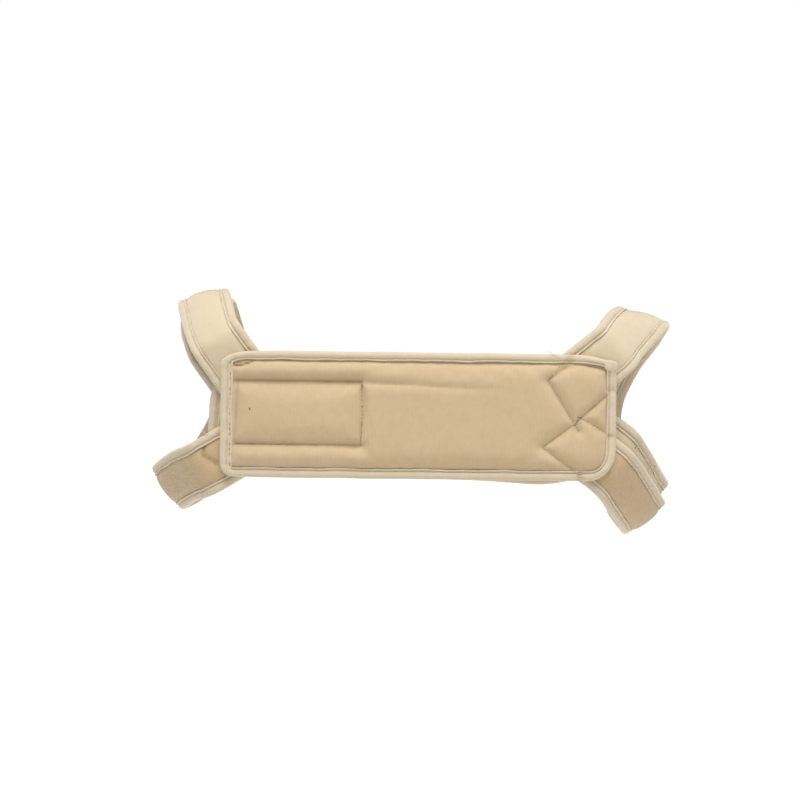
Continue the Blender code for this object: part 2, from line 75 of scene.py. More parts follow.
# The corners as (along, up). The outer panel's first is rounder than in its solid.
OUTER_CORNERS = ((0.030, 0.012), (0.012, 0.012), (0.024, 0.027), (0.042, 0.0125))
INNER_CORNERS = ((0.030, 0.050), (0.0125, 0.0125), (0.060, 0.030), (0.014, 0.014))
STRAP_LEVEL = PAD_THICKNESS + CLEARANCE
UNDER_STRAP = PAD_THICKNESS + PATCH_THICKNESS + 2 * STRAP_HOOK_GAP
UNDER_PANEL = 2 * (PAD_THICKNESS + CLEARANCE)
BOX_LEFT = -PANEL_LENGTH / 2 + HOOK_INSET
BOX_RIGHT = BOX_LEFT + HOOK_LENGTH
BOX_LOW = HOOK_RAISE - HOOK_HEIGHT / 2
BOX_TOP = HOOK_RAISE + HOOK_HEIGHT / 2

# Where each side's strap ends are sewn, in strap widths: sign is -1 left and +1 right, reach is
# how far in from the panels' end their inner corners meet, midline is the height of that point.
# slant is the strap's width line in degrees from level, and run is how far it lies flat.
Side = namedtuple("Side", "sign reach midline upper_slant upper_run lower_slant lower_run")
LEFT_SIDE = Side(-1, 0.24, 0.00, 36, 1.165, -60.5, 0.91)
RIGHT_SIDE = Side(+1, 0.56, 0.06, -52, 1.05, 53, 1.01)

# A loop's stations, from where the upper end leaves the back, over the shoulder, down the front
# and back under the arm. edge is the panels' edge that up is measured from, +1 top, -1 bottom.
# out is a share of LOOP_SPREAD past the panels' end, depth of LOOP_DEPTH, up of LOOP_RISE.
Station = namedtuple("Station", "edge out depth up slant")
LEFT_STATIONS = (
    Station(+1, 0.17, 0.075, 0.36, 29),
    Station(+1, 0.30, 0.200, 0.65, 20),
    Station(+1, 0.44, 0.410, 0.96, 14),
    Station(+1, 0.44, 0.650, 0.76, 17),
    Station(+1, 0.27, 0.860, 0.25, 14),
    Station(+1, 0.01, 0.985, -0.44, 5),
    Station(-1, 0.05, 1.000, 0.93, -14),
    Station(-1, 0.42, 0.870, 0.22, -34),
    Station(-1, 0.80, 0.640, -0.09, -47),
    Station(-1, 1.04, 0.390, -0.21, -52),
    Station(-1, 0.67, 0.150, 0.02, -57),
)
# The eighth and ninth lie up to 4 mm off the solid, which hides the short strap's end behind it
RIGHT_STATIONS = (
    Station(+1, 0.11, 0.070, 0.20, -46),
    Station(+1, 0.37, 0.200, 0.43, -36),
    Station(+1, 0.66, 0.390, 0.59, -12),
    Station(+1, 0.62, 0.640, 0.38, -16),
    Station(+1, 0.36, 0.840, -0.04, -16),
    Station(+1, 0.08, 0.960, -0.68, -8),
    Station(-1, 0.04, 0.985, 0.70, 6),
    Station(-1, 0.28, 0.880, 0.11, 20),
    Station(-1, 0.51, 0.680, -0.44, 29),
    Station(-1, 0.67, 0.440, -0.72, 35),
    Station(-1, 0.36, 0.190, -0.36, 41),
)

# A strap's lift off its loop's line and its shift across it. at is a share of the loop's length.
# lift 1 puts it under the other strap, 2 under the inner panel as well.
Lay = namedtuple("Lay", "at lift shift")
LEFT_LONG_LAY = (
    Lay(0.00, 2.0, -0.13),
    Lay(0.12, 2.0, -0.13),
    Lay(0.17, 1.0, -0.10),
    Lay(0.28, 1.0, 0.08),
    Lay(0.48, 1.0, 0.00),
    Lay(0.66, 0.0, 0.00),
    Lay(1.00, 0.0, 0.00),
)
RIGHT_LONG_LAY = (
    Lay(0.00, 0.0, 0.00),
    Lay(0.50, 0.0, 0.00),
    Lay(0.62, 1.0, 0.10),
    Lay(0.74, 1.0, 0.26),
    Lay(0.86, 1.0, 0.31),
    Lay(0.91, 2.0, 0.34),
    Lay(1.00, 2.0, 0.34),
)
LEFT_LONG_START = 0.035
LEFT_SHORT_END = 0.40
RIGHT_SHORT_START = 0.66
RIGHT_LONG_END = 0.965
LEFT_HOOK = (0.19, 0.33)
RIGHT_HOOK = (0.72, 0.85)

# How finely the cloth is made
FRAME_STEP = 0.002
TANGENT_REACH = 0.0096
OUTLINE_STEP = 0.0022
CORNER_STEPS = 12
END_STEPS = 5
SPAN_STEPS = 16
PANEL_GRID = 0.00165
PATCH_GRID = 0.004
RING_STEP = 0.001
RING_COUNT = 12
LIP_RING = 8

# The folded tape's section as (inset from the edge, height), round from the body side's lip:
# the body side, the rounded edge, the outer side with its sewn groove and lip, then the inside.
TAPE_SECTION = np.array([
    (0.00900, 0.00060), (0.00860, 0.00012), (0.00800, 0.00004), (0.00725, 0.00050),
    (0.00640, 0.00008), (0.00400, 0.00000), (0.00200, 0.00006), (0.00060, 0.00080),
    (0.00000, 0.00220), (0.00000, 0.00400), (0.00055, 0.00535), (0.00190, 0.00610),
    (0.00380, 0.00640), (0.00560, 0.00615), (0.00650, 0.00560), (0.00705, 0.00490),
    (0.00760, 0.00580), (0.00815, 0.00632), (0.00875, 0.00628), (0.00920, 0.00560),
    (0.00905, 0.00495), (0.00700, 0.00460), (0.00300, 0.00480), (0.00140, 0.00440),
    (0.00140, 0.00160), (0.00300, 0.00110), (0.00700, 0.00115), (0.00900, 0.00105),
])
TAPE_OUTER = slice(9, 20)
TAPE_TOP = TAPE_SECTION[TAPE_OUTER].T
TAPE_EDGE = 0.0091
TAPE_GROOVE = 0.0070
GROOVE_TOP, GROOVE_BOTTOM = 0.00515, 0.00035

# The cloth: how far it is tucked into the tape, how high it stands, and how it swells
TUCK = 0.0018
PAD_INSETS = (
    TUCK, 0.0050, 0.0084, 0.0092, 0.0098, 0.0106, 0.0118, 0.0138, 0.0166, 0.0205, 0.02575)
PAD_START = 0.0004
PAD_TOP = PAD_THICKNESS - 0.0001
LOFT = 0.0034
SETTLE_STEPS = 20
MOST_SETTLED = np.array((0.0006, 0.0006, 0.0014))

# How long the waves of each unevenness are
LIP_WAVES = (0.067, 0.036, 0.019, 0.0095)
SLACK_WAVES = (0.083, 0.047, 0.029, 0.015)
PULL_WAVES = (0.017, 0.0093, 0.0061, 0.031)
FOLD_WAVES = (0.052, 0.027, 0.017, 0.011)
CREASE_WAVES = (0.019, 0.012, 0.033, 0.008)
ROLL_WAVES = (0.120, 0.061, 0.034, 0.021)
SEAM_WAVES = (0.041, 0.023, 0.013, 0.0076)
WAVE_SHARES = (0.42, 0.30, 0.18, 0.10)

# Threads as (length, width, thickness) of one stitch
THREAD = (0.0025, 0.00058, 0.00050)
FINE_THREAD = (0.0021, 0.00042, 0.00036)
SEAM_THREAD = (0.0019, 0.00036, 0.00032)
LOOSE_THREAD = (0.0016, 0.00042, 0.00040)
HAIR = (0.0014, 0.00030, 0.00030)
STITCH_PITCH = 0.0031
LOOSE_PITCH = 0.0008
HALF_KNOT = 0.0007


def smooth(share):
    """An eased step from 0 to 1."""
    share = np.clip(share, 0.0, 1.0)
    return share * share * (3 - 2 * share)


def tucked(inset):
    """How high the cloth lies inside the folded tape, and where it comes out under the lip."""
    return 0.0043 + 0.0008 * smooth((inset - 0.0083) / 0.0009)


def swollen(share):
    """How cloth rises away from a seam: fast at first, then level."""
    share = np.clip(share, 0.0, 1.0)
    return 1 - (1 - share) ** 2.3


def body_side(inset):
    """How high the cloth's body side lies: flat, and up inside the tape near the edge."""
    return 0.0013 * (1 - smooth((inset - TAPE_EDGE) / 0.0026))


def unit(rows):
    return rows / np.linalg.norm(rows, axis=1, keepdims=True)


def picked(at, places, rows):
    """The rows' values at lengths along the places that they stand at."""
    return np.stack([np.interp(at, places, row) for row in rows.T], axis=1)


def run_along(path):
    """How far along a path each of its points is."""
    steps = np.linalg.norm(np.diff(path, axis=0), axis=1)
    return np.concatenate([[0.0], np.cumsum(steps)])


def ripple(at, seed, lengths=SEAM_WAVES):
    """A soft irregular wave along a length, about -1 to 1, the same every time."""
    phases = np.random.default_rng(seed).uniform(0, 2 * math.pi, len(lengths))
    waves = [np.sin(2 * math.pi * at / length + p) for length, p in zip(lengths, phases)]
    return sum(wave * share for wave, share in zip(waves, WAVE_SHARES))


def wrap(x):
    """How far the back, and all that lies on it, has bent forward at x."""
    beyond = np.maximum(0.0, np.abs(x) - STRAIGHT_HALF)
    return WRAP_DEPTH * (beyond / (PANEL_LENGTH / 2 - STRAIGHT_HALF)) ** 2


# Patterns


def outer_breaks():
    """The outer panel's body side as (along, height): over the strap ends, down, then up."""
    end = PANEL_LENGTH / 2
    left = -end + (LEFT_SIDE.reach + math.cos(math.radians(LEFT_SIDE.upper_slant))) * STRAP_WIDTH
    right = end - (RIGHT_SIDE.reach + math.cos(math.radians(RIGHT_SIDE.upper_slant))) * STRAP_WIDTH
    over_ends = STRAP_LEVEL + PAD_THICKNESS + CLEARANCE
    over_patch = PATCH_THICKNESS + CLEARANCE
    middle = PAD_THICKNESS + CLEARANCE + over_patch
    return (
        (-end, over_ends + over_patch),
        (left + SEWN_MARGIN, over_ends + over_patch),
        (left + STRAP_WIDTH, middle),
        (right - STRAP_WIDTH, middle),
        (right - SEWN_MARGIN, over_ends),
        (end, over_ends),
    )


def inner_base(along):
    """The inner panel's body side, straight on the back."""
    return np.zeros_like(along)


def outer_base(along):
    """The outer panel's body side, with the bends of outer_breaks eased."""
    at, high = np.array(outer_breaks()).T
    spread = np.linspace(-0.009, 0.009, 7)
    return sum(np.interp(along + shift, at, high) for shift in spread) / len(spread)


class Panel:
    """A flat pattern piece laid on the back."""

    def __init__(self, height, corners, shift, tilt, base):
        self.half = (PANEL_LENGTH / 2, height / 2)
        self.corners = corners
        self.shift = shift
        self.tilt = tilt
        self.base = base

    def outline(self, inset):
        """The edge moved in by inset, anticlockwise, with as many points at every inset."""
        quarters = []
        for (along, up), (right, top) in zip(self.corners, ((-1, 1), (-1, -1), (1, -1), (1, 1))):
            turn = np.linspace(0, math.pi / 2, CORNER_STEPS + 1)
            quarter = np.stack([
                right * (self.half[0] - along + (along - inset) * np.cos(turn)),
                top * (self.half[1] - up + (up - inset) * np.sin(turn)),
            ], axis=1)
            quarters.append(quarter if right * top > 0 else quarter[::-1])
        ring = []
        for this, following in zip(quarters, quarters[1:] + quarters[:1]):
            upright = abs(this[-1][0] - following[0][0]) < abs(this[-1][1] - following[0][1])
            count = round(self.half[1 if upright else 0] * 2 / OUTLINE_STEP)
            shares = np.linspace(0, 1, count)[1:-1, None]
            ring += [this, this[-1] + (following[0] - this[-1]) * shares]
        ring = np.concatenate(ring)
        area = np.cross(ring, np.roll(ring, -1, axis=0)).sum()
        return ring[::-1] if area < 0 else ring

    def place(self, along, up, height):
        """The place on the back of points of the flat pattern, at heights above its base."""
        cos, sin = math.cos(self.tilt), math.sin(self.tilt)
        x = along * cos - up * sin + self.shift[0]
        z = along * sin + up * cos + self.shift[1]
        return np.stack([x, wrap(x) - self.base(along) - height, z], axis=1)

    def edge_distance(self, points):
        """How far inside the panel's edge the points lie, below nothing outside it."""
        ring = self.outline(0.0)
        ahead = np.roll(ring, -1, axis=0) - ring
        inward = unit(np.stack([-ahead[:, 1], ahead[:, 0]], axis=1))
        offsets = np.sum(ring * inward, axis=1)
        return np.min(points @ inward.T - offsets[None], axis=1)


def sewn_rows(side, level):
    """Where a strap end lies flat on the panel: the upper end at level 1, the lower at -1."""
    slant = math.radians(side.upper_slant if level > 0 else side.lower_slant)
    run = (side.upper_run if level > 0 else side.lower_run) * STRAP_WIDTH
    half = side.sign * STRAP_WIDTH / 2
    x = side.sign * (PANEL_LENGTH / 2 - side.reach * STRAP_WIDTH) - half * math.cos(slant)
    z = side.midline * STRAP_WIDTH + level * SEWN_GAP / 2 - half * math.sin(slant)
    end = np.array((x, -STRAP_LEVEL, z, slant))
    step = np.array((-math.sin(slant), 0.0, math.cos(slant), 0.0)) * level
    return [end + step * run * share for share in (0.0, 0.5, 1.0)]


def station_row(side, station):
    """A station's x, depth, height and slant."""
    height = station.edge * OUTER_HEIGHT / 2 + station.up * LOOP_RISE
    x = side.sign * (PANEL_LENGTH / 2 + station.out * LOOP_SPREAD)
    depth = station.depth * LOOP_DEPTH - STRAP_LEVEL
    return np.array((x, depth, height, math.radians(station.slant)))


def spline(rows):
    """A smooth line through the rows."""
    points = [2 * rows[0] - rows[1], *rows, 2 * rows[-1] - rows[-2]]
    line = []
    for before, start, stop, after in zip(points, points[1:], points[2:], points[3:]):
        for t in np.linspace(0, 1, SPAN_STEPS, endpoint=False):
            curve = 2 * before - 5 * start + 4 * stop - after
            twist = 3 * start - before - 3 * stop + after
            line.append((2 * start + (stop - before) * t + curve * t**2 + twist * t**3) / 2)
    line = np.array([*line, rows[-1]])
    line[:, 1] = np.maximum(line[:, 1], -STRAP_LEVEL)
    return line


class Loop:
    """The line that a shoulder loop's outer strap lies on."""

    def __init__(self, stations, side):
        stands = [station_row(side, station) for station in stations]
        line = spline([*sewn_rows(side, +1), *stands, *sewn_rows(side, -1)[::-1]])
        lengths = run_along(line[:, :3])
        self.length = lengths[-1]
        self.at = np.linspace(0, self.length, int(self.length / FRAME_STEP) + 1)

        def rows_at(shift):
            return picked(np.clip(self.at + shift, 0, self.length), lengths, line)

        rows = sum(rows_at(shift) for shift in (-0.003, 0.0, 0.003)) / 3
        tangent = unit((rows_at(TANGENT_REACH) - rows_at(-TANGENT_REACH))[:, :3])
        slant = rows[:, 3]
        across = np.stack([np.cos(slant), np.zeros_like(slant), np.sin(slant)], axis=1)
        across = unit(across - tangent * np.sum(tangent * across, axis=1, keepdims=True))
        self.centre, self.across, self.out = rows[:, :3], across, np.cross(across, tangent)
        self.camber = STRAP_CAMBER * smooth((rows[:, 1] + STRAP_LEVEL) / LOOP_DEPTH * 4)

    def place(self, along, across, height):
        """The places of points of a strap's flat pattern, at heights off the loop's line."""
        drop = np.interp(along, self.at, self.camber) * (across / (STRAP_WIDTH / 2)) ** 2
        centre, beside, out = (
            picked(along, self.at, rows) for rows in (self.centre, self.across, self.out))
        point = centre + beside * across[:, None]
        point += out * (height - drop)[:, None]
        point[:, 1] += wrap(point[:, 0])
        return point


class Strap:
    """A padded strap on a loop, from its sewn end to its rounded free end."""

    def __init__(self, loop, sewn, free, lays=()):
        self.loop = loop
        self.sewn = sewn * loop.length
        self.free = free * loop.length
        self.forward = 1 if self.free > self.sewn else -1
        self.lays = np.array(lays or (Lay(0.0, 0.0, 0.0), Lay(1.0, 0.0, 0.0)))

    def place(self, along, across, height):
        """The places of points of the flat pattern, with the strap lifted and shifted."""
        at = along / self.loop.length
        keys, lifts, shifts = self.lays.T
        k = np.clip(np.searchsorted(keys, at) - 1, 0, len(keys) - 2)
        share = smooth((at - keys[k]) / (keys[k + 1] - keys[k]))
        lift = lifts[k] + (lifts[k + 1] - lifts[k]) * share
        shift = shifts[k] + (shifts[k + 1] - shifts[k]) * share
        under = UNDER_STRAP * np.minimum(lift, 1)
        under += (UNDER_PANEL - UNDER_STRAP) * np.maximum(0, lift - 1)
        return self.loop.place(along, across + shift * STRAP_WIDTH, height - under)

    def outline(self, inset):
        """The edge moved in by inset: up one side, round the free end and back."""
        corner = max(END_ROUND, inset)
        reach = self.free - self.forward * max(END_ROUND + 0.001, inset)
        steps = round(abs(self.free - self.sewn) / OUTLINE_STEP)
        run = np.linspace(self.sewn, reach, steps + 1)
        side = np.stack([run, np.full_like(run, STRAP_WIDTH / 2 - inset)], axis=1)
        turn = np.linspace(0, math.pi / 2, CORNER_STEPS + 1)
        radius = max(0.0, END_ROUND - inset)
        bend = np.stack([
            self.free + self.forward * (radius * np.sin(turn) - corner),
            STRAP_WIDTH / 2 - corner + radius * np.cos(turn),
        ], axis=1)
        end = bend[-1] * np.stack([
            np.ones(END_STEPS), np.linspace(1, 0, END_STEPS + 1)[1:]], axis=1)
        half = np.concatenate([side, bend, end])
        back = half[:-1][::-1] * (1, -1)
        return np.concatenate([half, back])


# Making pieces


def make_mesh(name, points, faces, coordinates, shade, finish, levels=0):
    """A closed piece of cloth, with its flat coordinates for the weave and its painted shade."""
    data = bpy.data.meshes.new(name)
    data.from_pydata([tuple(point) for point in points], [], [tuple(face) for face in faces])
    layer = data.uv_layers.new(name="UVMap")
    layer.data.foreach_set("uv", np.asarray(coordinates, np.float32).ravel())
    # The shade attribute is painted shade: the finishes mix their colour towards a dark brown by
    # it.
    worn = data.attributes.new("shade", "FLOAT", "POINT")
    worn.data.foreach_set("value", np.asarray(shade, np.float32))
    mesh = bmesh.new()
    mesh.from_mesh(data)
    bmesh.ops.remove_doubles(mesh, verts=mesh.verts, dist=2e-6)
    bmesh.ops.dissolve_degenerate(mesh, edges=mesh.edges, dist=1e-6)
    bmesh.ops.recalc_face_normals(mesh, faces=mesh.faces)
    mesh.to_mesh(data)
    mesh.free()
    data.materials.append(finish)
    data.shade_smooth()
    thing = bpy.data.objects.new(name, data)
    bpy.context.scene.collection.objects.link(thing)
    if levels:
        rounded = thing.modifiers.new("rounded", "SUBSURF")
        rounded.levels = rounded.render_levels = levels
    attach(thing, "root")
    return thing


def skin(rows, columns, closed):
    """The faces between rings of points, and each face corner's ring and point, unwrapped.

    closed joins the last ring to the first."""
    faces, corners = [], []
    for i in range(rows if closed else rows - 1):
        for j in range(columns):
            around = ((i, j), (i, j + 1), (i + 1, j + 1), (i + 1, j))
            faces.append([(a % rows) * columns + b % columns for a, b in around])
            corners += around
    return faces, np.array(corners)


def make_tape(name, outline, place, closed, finish, seed, widen=None, shaped=None):
    """The folded tape, swept along an edge: a soft roll, a sewn groove and a lip.

    widen gives its width along the edge, and shaped how far it is raised and how much painted
    shade it gets."""
    edge = outline(0.0)
    count, columns = len(edge), len(TAPE_SECTION)
    run = run_along(edge)
    inset, height = TAPE_SECTION.T
    wobble = ripple(run, seed, LIP_WAVES)[:, None]
    slack = 1 + ripple(run, seed + 3, SLACK_WAVES)[:, None]
    pull = ripple(run, seed + 1, PULL_WAVES)[:, None]
    outer = (height > PAD_THICKNESS / 2)[None]
    lip = smooth((inset - 0.004) / 0.004)[None]
    insets = inset[None] + 0.00065 * wobble * lip + 0.00022 * slack
    if widen is not None:
        insets = insets * (1 + (widen(edge)[:, None] - 1) * smooth(inset / 0.006)[None])
    heights = height[None] + outer * 0.00028 * pull * smooth(inset / 0.003)[None]
    insides = np.linspace(0, RING_COUNT * RING_STEP, RING_COUNT + 1)
    rings = np.stack([outline(inside) for inside in insides])
    level = np.clip(insets / RING_STEP, 0, RING_COUNT - 0.001)
    raised, seam_crossing_shade = shaped(edge, rings[LIP_RING]) if shaped else (0, 0)
    heights = heights + outer * raised * smooth(inset / 0.002)[None]
    low = level.astype(int)
    which = np.arange(count)[:, None]
    share = (level - low)[..., None]
    flat = rings[low, which] * (1 - share) + rings[low + 1, which] * share
    points = place(flat[..., 0].ravel(), flat[..., 1].ravel(), heights.ravel())
    faces, corners = skin(count, columns, closed)
    around = run_along(np.concatenate([TAPE_SECTION, TAPE_SECTION[:1]]))
    total = run[-1] + np.linalg.norm(edge[0] - edge[-1])
    runs = np.append(run, total)
    coordinates = np.stack([runs[corners[:, 0]], around[corners[:, 1]]], axis=1)
    if not closed:
        for cap in (range(columns), range((count - 1) * columns, count * columns)):
            faces.append(list(cap))
            coordinates = np.concatenate([coordinates, np.zeros((columns, 2))])
    # Painted shade: a little in the sewn groove, full on the tape's inside faces in the fold, and
    # where the seams press it, as shaped gives.
    groove = np.exp(-(((insets - TAPE_GROOVE) / 0.0006) ** 2))
    hidden = (np.arange(columns) >= TAPE_OUTER.stop)[None]
    shade = np.clip(0.30 * groove + hidden + seam_crossing_shade * outer, 0, 1)
    return make_mesh(name, points, faces, coordinates, shade.ravel(), finish, levels=1)


def make_strap(name, strap, puff, start, finish, seed, pressed=None):
    """The padded cloth of a strap, fuller along its middle, from its sewn to its free end."""
    rows = [strap.outline(inset) for inset in PAD_INSETS]
    half = len(rows[0]) // 2
    sides = [row[: half + 1] for row in rows]
    other = [row[::-1][: half + 1] for row in rows]
    flat = np.stack(sides + other[:-1][::-1], axis=1)
    insets = np.array([*PAD_INSETS, *PAD_INSETS[:-1][::-1]])
    along, across = flat[..., 0], flat[..., 1]
    since = np.abs(along - strap.sewn)
    full = smooth((since - start) / 0.025)
    rise = swollen((insets[None] - TAPE_EDGE - PAD_START) / 0.0085)
    low = tucked(insets)[None]
    crown = puff * full * swollen((insets[None] - TAPE_EDGE) / 0.017)
    folds = 0.00035 * ripple(along, seed, FOLD_WAVES)
    folds = folds + 0.0002 * ripple(along + across * 0.6, seed + 5, CREASE_WAVES)
    top = low + (PAD_TOP - low) * rise + crown + folds * full * rise
    bottom = body_side(insets[None]) + 0 * top
    columns = 2 * len(insets)
    flat = np.concatenate([flat, flat[:, ::-1]], axis=1)
    heights = np.concatenate([top, bottom[:, ::-1]], axis=1)
    points = strap.place(flat[..., 0].ravel(), flat[..., 1].ravel(), heights.ravel())
    faces, corners = skin(half + 1, columns, False)
    faces.append(list(range(columns)))
    index = corners[:, 0] * columns + corners[:, 1] % columns
    coordinates = flat.reshape(-1, 2)[index][:, ::-1]
    coordinates = np.concatenate([coordinates, np.zeros((columns, 2))])
    inset = np.concatenate([insets, insets[::-1]])
    # Painted shade: a dark line where the cloth meets the tape's lip, and along the pressed line,
    # if any.
    shade = np.exp(-(((inset - TAPE_EDGE) / 0.0009) ** 2))[None] * 0.25 + 0 * heights
    if pressed:
        down, away = drawn_down(flat.reshape(-1, 2), pressed)
        outer = heights > PAD_THICKNESS / 2
        points[:, 1] += down * outer.ravel()
        line = np.exp(-((away / 0.0017) ** 2)).reshape(heights.shape)
        shade = np.maximum(shade, pressed.worn * line * outer)
    return make_mesh(name, points, faces, coordinates, shade.ravel(), finish, levels=1)


# Where the outer panel's cloth is drawn down: a path of flat points, how far it is drawn down at
# each of them, how far the cloth takes to rise again, and how dark the painted shade along the
# line is.
Seam = namedtuple("Seam", "path depths spread worn")

# The hook patch's four sides, then the two strap ends, each a diamond in two lines
SEWN = (
    Seam(((BOX_LEFT, BOX_TOP), (BOX_RIGHT, BOX_TOP)), (0.0046, 0.0056), 0.0130, 0.56),
    Seam(((BOX_RIGHT, BOX_TOP), (BOX_RIGHT + 0.0007, 0.0), (BOX_RIGHT - 0.0008, BOX_LOW)),
         (0.0046, 0.0032, 0.0034), 0.0080, 0.30),
    Seam(((BOX_LEFT, BOX_LOW + 0.0006), (BOX_RIGHT, BOX_LOW)), (0.0040, 0.0042), 0.0115, 0.42),
    Seam(((BOX_LEFT - 0.0010, BOX_LOW), (BOX_LEFT + 0.0016, BOX_TOP)), (0.0022, 0.0022),
         0.0060, 0.36),
    Seam(((0.1344, 0.0480), (0.1134, 0.0325), (0.1410, -0.0115)), (0.0030, 0.0038, 0.0032),
         0.0110, 0.26),
    Seam(((0.1370, -0.0080), (0.1420, -0.0010), (0.1668, 0.0205)), (0.0020, 0.0032, 0.0036),
         0.0095, 0.26),
    Seam(((0.1402, -0.0480), (0.1090, -0.0262), (0.1400, -0.0035)), (0.0032, 0.0036, 0.0030),
         0.0110, 0.24),
    Seam(((0.1400, -0.0010), (0.1430, 0.0005), (0.1700, -0.0155)), (0.0018, 0.0028, 0.0034),
         0.0095, 0.20),
)
# A slack fold that runs on from the patch's top, and a pucker under the tape's corner, painted
# with a strong line of shade
CREASES = (
    Seam(((BOX_RIGHT + 0.002, BOX_TOP), (-0.0100, 0.0278), (0.0363, 0.0250), (0.0800, 0.0240)),
         (0.0034, 0.0022, 0.0014, 0.0), 0.0095, 0.10),
    Seam(((-0.1632, 0.0428), (-0.1560, 0.0432), (-0.1490, 0.0452), (-0.1452, 0.0474)),
         (0.0030, 0.0036, 0.0034, 0.0016), 0.0030, 0.80),
)
# Where the strap-end seams run out over the tape
TAPE_PRESSES = (
    ((0.1344, 0.0480), (0.1290, 0.0600)), ((0.1402, -0.0480), (0.1470, -0.0600)),
    ((0.1600, 0.0150), (0.1790, 0.0300)), ((0.1660, -0.0130), (0.1790, -0.0200)),
)


def tape_shape(edge, lip):
    """The outer panel's tape: pressed where the strap-end seams cross it, with painted shade in
    those dents, lapped at a corner.
    """
    raised, seam_crossing_shade = np.zeros(len(edge)), np.zeros(len(edge))
    for path in TAPE_PRESSES:
        down, away = drawn_down((edge + lip) / 2, Seam(path, (0.0013, 0.0013), 0.0060, 0))
        raised -= down
        # Painted shade along each seam that crosses the tape
        seam_crossing_shade = np.maximum(seam_crossing_shade, 0.22 * np.exp(-((away / 0.0016) ** 2)))
    lapped = smooth((edge[:, 0] - 0.146) / 0.010) * (edge[:, 1] > 0.0385)
    return (raised + 0.0007 * lapped)[:, None], seam_crossing_shade[:, None]


def drawn_down(points, seam):
    """How far a seam draws the cloth down at the points, and its distance from them."""
    path, depths = np.array(seam.path), np.array(seam.depths)
    nearest, drop = np.full(len(points), np.inf), np.zeros(len(points))
    for start, stop, first, last in zip(path, path[1:], depths, depths[1:]):
        run = stop - start
        share = np.clip((points - start) @ run / (run @ run), 0, 1)
        foot = start + share[:, None] * run
        away = np.linalg.norm(points - foot, axis=1)
        depth = (first + (last - first) * share) * (1 - swollen(away / seam.spread))
        drop = np.maximum(drop, depth)
        nearest = np.minimum(nearest, away)
    return drop, nearest


def outer_face(points, edge):
    """The outer panel's height over its pattern, and the painted shade along its seams."""
    rise = swollen((edge - TAPE_EDGE - PAD_START) / 0.0115)
    clear = smooth((edge - TAPE_EDGE) / 0.004)
    drop, shade = np.zeros(len(points)), np.zeros(len(points))
    for number, seam in enumerate(SEWN + CREASES):
        down, away = drawn_down(points, seam)
        along = points @ np.array((0.83, 0.56))
        down = down * (1 + 0.09 * ripple(along, 70 + number))
        drop = np.maximum(drop, down)
        path = np.array(seam.path)
        # Painted shade: a dark line along each seam, and a broader shade above the level seams,
        # where the cloth slopes down, and a little below them.
        level = np.ptp(path[:, 1]) < 0.2 * np.ptp(path[:, 0])
        above = points[:, 1] > np.interp(points[:, 0], path[:, 0], path[:, 1])
        soft = np.where(above, 0.42, 0.06) if level else 0.25
        line = np.exp(-((away / 0.00095) ** 2)) + soft * np.exp(-((away / 0.0042) ** 2))
        strength = np.clip(down / 0.0030, 0, 1)
        shade = np.maximum(shade, seam.worn * line * strength)
    top = tucked(edge) + (PAD_THICKNESS + LOFT - tucked(edge)) * rise
    rolls = 0.00035 * ripple(points[:, 0], 81, ROLL_WAVES)
    rolls = rolls * np.exp(-(((edge - 0.017) / 0.007) ** 2))
    return top - drop * clear + rolls, shade * (edge > TAPE_EDGE)


def settled(flat, cells, top, held, slack):
    """How the cloth moves as it swells between its seams: a short simulation of its flat pattern.

    held is 1 where it is sewn down, and slack how much more cloth there is than pattern."""
    data = bpy.data.meshes.new("settling")
    data.from_pydata(np.column_stack([flat, top]).tolist(), [], cells.tolist())
    thing = bpy.data.objects.new("settling", data)
    bpy.context.scene.collection.objects.link(thing)
    group = thing.vertex_groups.new(name="held")
    for level in np.unique(held):
        group.add(np.where(held == level)[0].tolist(), float(level), "REPLACE")
    cloth = thing.modifiers.new("cloth", "CLOTH")
    settings = cloth.settings
    settings.quality = 5
    settings.mass = 0.3
    settings.bending_stiffness = 0.6
    settings.vertex_group_mass = "held"
    settings.use_pressure = True
    settings.uniform_pressure_force = 4.0
    settings.effector_weights.gravity = 0.0
    settings.shrink_min = -slack
    cloth.collision_settings.use_collision = False
    cloth.point_cache.frame_start, cloth.point_cache.frame_end = 1, SETTLE_STEPS + 4
    for frame_number in range(1, SETTLE_STEPS + 1):
        bpy.context.scene.frame_set(frame_number)
    bpy.ops.object.select_all(action="DESELECT")
    thing.select_set(True)
    bpy.context.view_layer.objects.active = thing
    bpy.ops.object.modifier_apply(modifier="cloth")
    after = np.array([vertex.co for vertex in thing.data.vertices])
    bpy.data.objects.remove(thing)
    bpy.context.scene.frame_set(1)
    moved = after - np.column_stack([flat, top])
    for _ in range(3):
        around = moved[cells].mean(axis=1)
        total, count = np.zeros_like(moved), np.zeros((len(moved), 1))
        for side in range(4):
            np.add.at(total, cells[:, side], around)
            np.add.at(count, cells[:, side], 1)
        moved = total / count
    return 0.8 * MOST_SETTLED * np.tanh(moved / MOST_SETTLED)


def inner_face(points, edge):
    """The inner panel's height over its pattern, with no seams of its own."""
    rise = swollen((edge - TAPE_EDGE - PAD_START) / 0.011)
    return tucked(edge) + (PAD_TOP - tucked(edge)) * rise, 0 * edge


